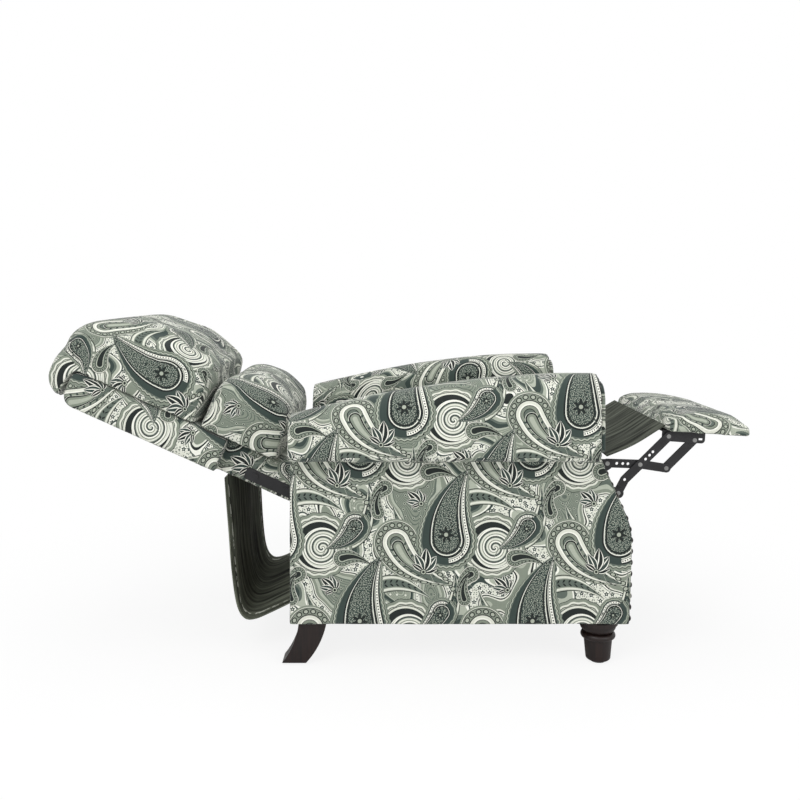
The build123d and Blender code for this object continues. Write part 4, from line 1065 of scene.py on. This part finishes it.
@dataclass
class Arms:
    """The two upholstered arms with their front facings."""

    half_well: float = 0.248
    roll_outer: float = 0.375
    underside: float = 0.457
    crown: float = 0.058
    lip: float = 0.032
    front_top: float = 0.645
    rear_top: float = 0.555
    level_from: float = 0.600
    top_power: float = 1.75
    voxel: float = 0.005
    facing_voxel: float = 0.004
    border_at: float = 0.263
    border_slack: float = 0.0006
    border_front: float = 0.6
    border_top: float = 0.4
    border: float = 0.014
    flat_above: float = 0.03
    end_start: float = 0.2
    roll_shift: float = 0.093
    seam: float = 0.004
    tuck: float = 0.035
    dent: float = 0.0012
    dent_sizes: tuple[float, float] = (0.06, 0.11)
    sides: tuple[str, ...] = ("left", "right")

    def top(self, x: Rows) -> Rows:
        """Height of the roll at a distance from the rear."""
        share = np.clip(1 - (x - REAR_X) / self.level_from, 0, 1)
        return self.front_top - (self.front_top - self.rear_top) * share ** self.top_power

    def layout(self, places: Rows, faces: Rows) -> Rows:
        """Cloth coordinates: side panel, roll wrapped from its lip over to the inside, and the ends.

        Args:
            places: Corner places.
            faces: Normals and middles of their faces.

        Returns:
            Two coordinates a corner.
        """
        x, y, z = places[:, 0] - REAR_X, np.abs(places[:, 1]), places[:, 2]
        r = self.crown
        out_y, in_y, cz = self.roll_outer - r, self.half_well + r, self.top(places[:, 0]) - r
        quarter = r * math.pi / 2
        crown = (y > out_y) & (z > cz)
        v = np.where(crown, cz + r * np.arctan2(np.maximum(z - cz, 0), np.maximum(y - out_y, 1e-6)), z)
        flat = (y <= out_y) & (y >= in_y) & (z > self.underside + self.flat_above)
        v = np.where(flat, cz + quarter + out_y - y, v)
        turn = (y < in_y) & (z > cz)
        bend = r * np.arctan2(np.maximum(in_y - y, 0), np.maximum(z - cz, 1e-6))
        v = np.where(turn, cz + quarter + out_y - in_y + bend, v)
        inner = (y < in_y) & (z <= cz)
        v = np.where(inner, cz + 2 * quarter + out_y - in_y + cz - z, v)
        under = (z < self.underside + self.lip) & (faces[:, 2] < -0.5)
        v = np.where(under, self.underside - (self.roll_outer - y), v)
        ends = np.abs(faces[:, 0]) > 0.75
        u = np.where(ends, y + self.end_start, x)
        v = np.where(ends, z, v)
        shift = np.where(faces[:, 5] > self.underside - self.seam, self.roll_shift, 0.0)
        return np.stack([u + np.where(ends, 0.0, shift), v + shift], axis=1)

    def fold_border(self, shape: bmesh.types.BMesh) -> None:
        """Carry the front of the cover round to the inner panel, under the inner nails.

        Args:
            shape: The cover.
        """
        faces = []
        for face in shape.faces:
            middle = face.calc_center_median()
            on_plane = abs(face.normal.y) > 0.98 and abs(abs(middle.y) - self.border_at) < self.border_slack
            if on_plane and middle.x - REAR_X > self.border_front and middle.z < self.border_top:
                faces.append(face)
        side = math.copysign(1.0, faces[0].calc_center_median().y)
        grown = bmesh.ops.extrude_face_region(shape, geom=faces)["geom"]
        moved = [item for item in grown if isinstance(item, bmesh.types.BMVert)]
        bmesh.ops.translate(shape, verts=moved, vec=(0.0, -side * self.border, 0.0))

    def near_lip(self, rows: Rows) -> Rows:
        """Weight of each vertex row, most at the roll's lower edge."""
        return np.exp(-((rows[:, 2] - self.underside) / self.tuck) ** 2)

    def build(self, material: Material) -> None:
        """Make both arms and facings.

        Args:
            material: Their cloth.
        """
        for side in self.sides:
            cover = copy_node(f"arm_cover_{side}", f"arm_{side}", self.voxel, self.fold_border)
            soften(cover, 2)
            ripple(cover, self.dent, self.dent_sizes[0], self.near_lip)
            ripple(cover, self.dent, self.dent_sizes[1], lambda rows: np.ones(len(rows)))
            map_cloth(cover, self.layout)
            dress(cover, material, "base", [f"arm_cover_{side}"])
            facing = copy_node(f"arm_facing_{side}", f"arm_front_{side}", self.facing_voxel)
            soften(facing, 4)
            map_cloth(facing, lambda places, faces: np.stack([np.abs(places[:, 1]), places[:, 2]], axis=1))
            dress(facing, material, "base", [f"arm_facing_{side}"])


CREST_BINS = 48            # steps along a cushion at which its crest is measured
CREST_SHARE = 0.3          # share of the half width that counts as its middle


def wrapped(along: Rows, across: Rows, up: Rows, ends: Rows, under: Rows,
            half: float, offset: Sequence[float]) -> Rows:
    """Cloth coordinates of a cushion wrapped from one side over its top to the other.

    Args:
        along: Coordinate along the cushion.
        across: Coordinate across it.
        up: Coordinate square to both.
        ends: True on the faces of its two ends.
        under: True on the faces below it.
        half: Half its width.
        offset: Where the print starts.

    Returns:
        Two coordinates a corner.
    """
    middle = np.abs(across) < half * CREST_SHARE
    bins = np.linspace(along.min(), along.max(), CREST_BINS)
    slot = np.clip(np.digitize(along, bins) - 1, 0, CREST_BINS - 1)
    crest = np.full(CREST_BINS, up.max())
    for i in range(CREST_BINS):
        rows = middle & (slot == i)
        if rows.any():
            crest[i] = up[rows].max()
    top = np.interp(along, bins, crest)
    u = np.where(across < 0, up + across + half, 2 * top - up + across + half)
    u = np.where(under, up.min() - across - half, u)
    u = np.where(ends, across + 2 * half, u)
    v = np.where(ends, up, along)
    return np.stack([u + offset[0], v + offset[1]], axis=1)


@dataclass
class Plane2:
    """Side-view axes of a tilted piece: an origin, a direction along it and one square to it."""

    origin: tuple[float, float]
    along: tuple[float, float]

    def split(self, rows: Rows) -> tuple[Rows, Rows]:
        """Coordinates along and square to a piece.

        Args:
            rows: Places.

        Returns:
            The two coordinates.
        """
        x = rows[:, 0] - REAR_X - self.origin[0]
        z = rows[:, 2] - self.origin[1]
        a, b = self.along
        return x * a + z * b, (z * a - x * b) * math.copysign(1.0, a)

    def square(self) -> Rows:
        """The direction square to the piece, upwards."""
        a, b = self.along
        return np.array([-b, 0.0, a]) * math.copysign(1.0, a)

    def normal(self, rows: Rows) -> Rows:
        """How far face normals point along the piece."""
        return np.abs(rows[:, 0] * self.along[0] + rows[:, 2] * self.along[1])


@dataclass
class Cushion:
    """A stuffed piece that takes the place of one CAD node."""

    node: str
    name: str
    body: str
    axes: Plane2
    half: float
    floor: float
    voxel: float = 0.007
    pressure: float = 4.0
    cap: float = 0.008
    shrink: float = 0.008
    rim: float = 0.008
    pin_to: float = 1.0
    lip_drop: float = 0.0
    lip_start: float = 0.008
    lip_depth: float = 0.05
    lip_back: tuple[float, float] = (0.018, 0.045)
    lip_lift: float = 0.9
    lip_power: float = 1.5
    side_slack: float = 0.001
    divided: int = 1
    full_at: float = 0.03
    fill: float = 0.7
    offset: tuple[float, float] = (0.0, 0.0)

    def layout(self, places: Rows, faces: Rows) -> Rows:
        """Cloth coordinates wrapped over the cushion.

        Args:
            places: Corner places.
            faces: Normals and middles of their faces.

        Returns:
            Two coordinates a corner.
        """
        along, up = self.axes.split(places)
        ends = self.axes.normal(faces[:, :3]) > 0.8
        under = faces[:, :3] @ self.axes.square() < -0.6
        return wrapped(along, places[:, 1], up, ends, under, self.half, self.offset)

    def lip(self, along: Rows, up: Rows) -> Rows:
        """Share of the drop that each point past the pinned part takes.

        Args:
            along: Coordinate along the cushion.
            up: Coordinate square to it.

        Returns:
            Shares from 0 to 1.
        """
        past = along - self.pin_to
        low = np.clip((self.floor - up) / self.lip_depth, 0, 1)
        share = np.clip(past / self.lip_start - 1, 0, 1) * low
        back = np.clip((past - self.lip_back[0]) / self.lip_back[1], 0, 1)
        return share * (1 - self.lip_lift * back ** self.lip_power)

    def build(self, material: Material) -> None:
        """Blow the cushion up, keep it off what it rests on and dress it.

        Args:
            material: Its cloth.
        """
        piece = copy_node(self.node, self.name, self.voxel)
        low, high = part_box(self.node)
        soften(piece, 1)
        along, up = self.axes.split(points_of(piece))
        pinned = (up < self.floor + self.rim) & (along < self.pin_to)
        shrink = self.shrink * np.clip((up - self.floor) / self.full_at, 0, 1)
        puff(piece, self.pressure, self.cap, shrink, pinned)
        rows = points_of(piece)
        rows[:, 1] = np.clip(rows[:, 1], low.y - self.side_slack, high.y + self.side_slack)
        drop = -self.lip_drop * self.lip(*self.axes.split(rows))
        set_points(piece, rows + self.axes.square() * drop[:, None])
        soften(piece, 1)
        divide = piece.modifiers.new("divide", "SUBSURF")
        divide.levels = divide.render_levels = self.divided
        settle(piece)
        map_cloth(piece, self.layout)
        dress(piece, material, self.body, [self.node])


@dataclass
class Hanging:
    """A sheet of cloth along a side-view path."""

    node: str
    name: str
    body: str
    path: tuple[tuple[float, float], ...]
    width: float
    held: str
    rests_on: tuple[str, ...]
    joint: str
    axis: tuple[float, float, float]
    anchor: tuple[float, float]
    keep: float
    sway: float = 0.004
    thickness: float = 0.0022
    steps: int = 64
    curve_steps: int = 24
    waves: tuple[tuple[float, float, float], ...] = ((31.0, 7.0, 0.6), (13.0, -11.0, 0.4))

    def along(self) -> tuple[Rows, Rows]:
        """Even points of a smooth line through the path, and the run to each.

        Returns:
            Rows of side-view coordinates, and the lengths in metres.
        """
        knots = np.array(self.path)
        ends = np.vstack([2 * knots[0] - knots[1], knots, 2 * knots[-1] - knots[-2]])
        t = np.linspace(0, 1, self.curve_steps, endpoint=False)[:, None]
        rows = []
        for a, b, c, d in zip(ends, ends[1:], ends[2:], ends[3:]):
            rows.append(0.5 * (2 * b + (c - a) * t + (2 * a - 5 * b + 4 * c - d) * t ** 2
                               + (3 * b - a - 3 * c + d) * t ** 3))
        line = np.vstack(rows + [knots[-1:]])
        run = np.concatenate([[0], np.cumsum(np.linalg.norm(np.diff(line, axis=0), axis=1))])
        even = np.linspace(0, run[-1], self.steps + 1)
        return np.stack([np.interp(even, run, line[:, i]) for i in (0, 1)], axis=1), even

    def build(self, material: Material) -> None:
        """Lay a grid along the path, let it sway a little and give it its thickness.

        Args:
            material: Its cloth.
        """
        line, run = self.along()
        mesh = grid_mesh(self.name, self.steps, 0.5)
        piece = link(self.name, mesh)
        grid = points_of(piece)
        place = (grid[:, 0] + 0.5) * run[-1]
        across = grid[:, 1] * self.width
        x, z = (np.interp(place, run, line[:, i]) for i in (0, 1))
        slope = [np.interp(place, run, np.gradient(line[:, i], run)) for i in (0, 1)]
        free = np.sin(np.pi * place / run[-1])
        sway = self.sway * free * sum(np.sin(across * a + place * b) * c for a, b, c in self.waves)
        set_points(piece, np.stack([x + REAR_X - slope[1] * sway, across, z + slope[0] * sway], axis=1))
        set_cloth(mesh, np.stack([place, across], axis=1)[corners_of(mesh)])
        thick = piece.modifiers.new("thickness", "SOLIDIFY")
        thick.thickness = self.thickness
        thick.offset = 0.0
        settle(piece)
        dress(piece, material, self.body, [self.node])
        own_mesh(piece)


@dataclass
class Stage:
    """Floor, light and camera."""

    camera_x: float = 0.2237
    camera_y: float = -2.305
    camera_z: float = 0.828
    focal_px: float = 898.0
    centre_px: tuple[float, float] = (391.0, 291.0)
    picture_px: float = 800.0
    sensor_mm: float = 36.0
    floor_size: float = 30.0
    floor_color: Color = (0.9, 0.9, 0.9, 1.0)
    floor_fade: tuple[float, float, float, float] = (0.5, 1.5, 0.86, 1.0)
    surround: float = 0.55
    aim: tuple[float, float, float] = (0.0, 0.0, 0.4)
    lamps: tuple[tuple[str, tuple[float, float, float], float, float], ...] = (
        ("key", (-1.2, -2.6, 2.6), 2.0, 60.0),
        ("fill", (2.0, -2.2, 1.4), 2.0, 26.0),
        ("top", (0.0, 0.3, 3.0), 2.4, 30.0),
    )

    def camera(self) -> None:
        """A level camera square to the chair's side."""
        data = bpy.data.cameras.new("camera")
        data.sensor_width = self.sensor_mm
        data.lens = self.focal_px / self.picture_px * self.sensor_mm
        data.shift_x = 0.5 - self.centre_px[0] / self.picture_px
        data.shift_y = self.centre_px[1] / self.picture_px - 0.5
        camera = bpy.data.objects.new("camera", data)
        camera.location = datum(self.camera_x, self.camera_z, self.camera_y)
        camera.rotation_euler = (math.pi / 2, 0.0, 0.0)
        bpy.context.scene.collection.objects.link(camera)
        bpy.context.scene.camera = camera

    def floor(self) -> None:
        """A pale floor that goes white in view and keeps the shadow."""
        material = bpy.data.materials.new("floor")
        material.use_nodes = True
        tree = material.node_tree
        nodes = Nodes(tree)
        shader = tree.nodes["Principled BSDF"]
        shader.inputs["Base Color"].default_value = self.floor_color
        shader.inputs["Roughness"].default_value = 1.0
        shader.inputs["Specular IOR Level"].default_value = 0.0
        place = nodes.add("ShaderNodeTexCoord").outputs["Object"]
        away = nodes.add("ShaderNodeVectorMath", (place,), operation="LENGTH").outputs["Value"]
        fade = nodes.add("ShaderNodeMapRange", (away,), interpolation_type="SMOOTHSTEP")
        for name, value in zip(("From Min", "From Max", "To Min", "To Max"), self.floor_fade):
            fade.inputs[name].default_value = value
        seen = Signal(tree, nodes.add("ShaderNodeLightPath").outputs["Is Camera Ray"])
        share = seen * Signal(tree, fade.outputs[0])
        glow = nodes.add("ShaderNodeEmission", (None, 1.0))
        mix = nodes.add("ShaderNodeMixShader", (share.socket, shader.outputs[0], glow.outputs[0]))
        nodes.feed(tree.nodes["Material Output"].inputs[0], mix.outputs[0])
        floor = link("floor", grid_mesh("floor", 1, self.floor_size))
        floor.data.materials.append(material)

    def world(self) -> None:
        """An even white surround, plain white to the camera and in reflections."""
        world = bpy.data.worlds.new("studio")
        bpy.context.scene.world = world
        world.use_nodes = True
        tree = world.node_tree
        nodes = Nodes(tree)
        back = tree.nodes["Background"]
        back.inputs["Color"].default_value = (1.0, 1.0, 1.0, 1.0)
        path = nodes.add("ShaderNodeLightPath")
        glossy = Signal(tree, path.outputs["Is Glossy Ray"])
        seen = Signal(tree, path.outputs["Is Camera Ray"]).high(glossy)
        level = nodes.add("ShaderNodeMapRange", (seen.socket,))
        level.inputs["To Min"].default_value = self.surround
        level.inputs["To Max"].default_value = 1.0
        nodes.feed(back.inputs["Strength"], level.outputs[0])

    def lamp(self, name: str, place: Vector, size: float, power: float) -> None:
        """A square soft lamp that points at the chair.

        Args:
            name: Its name.
            place: Where it stands.
            size: Its side in metres.
            power: Its power in watts.
        """
        data = bpy.data.lights.new(name, "AREA")
        data.size = size
        data.energy = power
        lamp = bpy.data.objects.new(name, data)
        lamp.location = place
        lamp.rotation_euler = (Vector(self.aim) - place).to_track_quat("-Z", "Y").to_euler()
        bpy.context.scene.collection.objects.link(lamp)

    def build(self) -> None:
        """Set the whole stage."""
        bpy.context.scene.view_settings.view_transform = "Standard"
        self.camera()
        self.floor()
        self.world()
        for name, place, size, power in self.lamps:
            self.lamp(name, Vector(place), size, power)


SLOT_FINISH = {
    "paisley_cloth": "print", "lining_cloth": "skirt", "dark_wood": "espresso", "frame_wood": "bare_wood",
    "black_steel": "black_steel", "zinc_steel": "zinc", "nail_bronze": "bronze", "webbing": "webbing",
    "glide_plastic": "glide",
}
NODE_FINISH = {"back_arm_bolts": "black_steel", "footrest_board": "espresso"}

BACK_SLOPE = math.radians(24.2)
FOOT_TILT = math.radians(3.9)
BACK = Plane2((0.081, 0.318), (-math.cos(BACK_SLOPE), math.sin(BACK_SLOPE)))
FOOT = Plane2((0.8695, 0.490), (math.cos(FOOT_TILT), -math.sin(FOOT_TILT)))
SEAT = Plane2((0.0, 0.425), (1.0, 0.0))
CUSHIONS = (
    Cushion("head_pillow", "head_cushion", "back", BACK, 0.2435, 0.0565, pin_to=0.665, lip_drop=0.028,
            offset=(0.02, 0.0)),
    Cushion("lumbar_pillow", "lumbar_cushion", "back", BACK, 0.2435, 0.0565, offset=(0.15, 0.07)),
    Cushion("back_cover", "back_upholstery", "back", BACK, 0.2435, -0.023, voxel=0.006, pressure=0.6,
            cap=0.004, shrink=0.001, divided=0, fill=0.9, offset=(0.06, 0.19)),
    Cushion("seat_cushion", "seat_pad", "seat", SEAT, 0.2445, 0.0, shrink=0.006),
    Cushion("footrest_pad", "foot_pad", "footrest", FOOT, 0.24, 0.014, voxel=0.004, cap=0.007,
            shrink=0.0005, rim=0.003),
    Cushion("front_rail_cover", "rail_pad", "base", SEAT, 0.2477, 0.0, voxel=0.005, cap=0.004,
            shrink=0.001, divided=0),
)
SKIRT_PATH = ((-0.1574, 0.3996), (-0.150, 0.300), (-0.143, 0.190), (-0.131, 0.110), (-0.113, 0.078),
              (-0.088, 0.076), (-0.050, 0.092), (0.003, 0.118))
FLAP_INSET = (0.001, 0.002)
FLAP_SAG = 0.006


def skirt() -> Hanging:
    """The skirt that closes the gap between the back and the base."""
    return Hanging("back_skirt", "rear_skirt", "base", SKIRT_PATH, 0.490, "hung", ("back_cover", "rear_rail"),
                   "back_recline", (1.0, 0.0, 0.0), SKIRT_PATH[-1], 0.08)


def flap() -> Hanging:
    """The flap from the seat's front to the footrest, along its CAD node.

    Returns:
        The sheet.
    """
    low, high = (corner - datum(0.0, 0.0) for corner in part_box("leg_flap"))
    in_x, in_z = FLAP_INSET
    path = ((low.x + in_x, low.z + in_z), ((low.x + high.x) / 2, (low.z + high.z) / 2 - FLAP_SAG),
            (high.x - in_x, high.z - in_z))
    reach = Vector((high.x - low.x, 0.0, high.z - low.z)).normalized()
    return Hanging("leg_flap", "foot_flap", "footrest", path, 0.470, "hung", ("seat_pad", "foot_pad"),
                   "footrest_tilt", tuple(reach), path[-1], 0.1, sway=0.002)


def dress_nodes(materials: dict[str, Material]) -> None:
    """Give each CAD node the finish of its slot.

    Args:
        materials: The finishes.
    """
    for part in frame["record"]["subparts"]:
        node = part["node"]
        finish = NODE_FINISH.get(node, SLOT_FINISH[part["material_slot"]])
        mesh = frame["nodes"][node].data
        mesh.materials.clear()
        mesh.materials.append(materials[finish])


def main() -> None:
    """Build the chair and its stage."""
    logging.basicConfig(level=logging.INFO, format="%(message)s")
    materials = make_materials()
    dress_nodes(materials)
    Stage().build()
    Arms().build(materials["print"])
    for cushion in CUSHIONS:
        cushion.build(materials["print"])
    skirt().build(materials["skirt"])
    flap().build(materials["flap"])


if __name__ == "__main__":
    main()
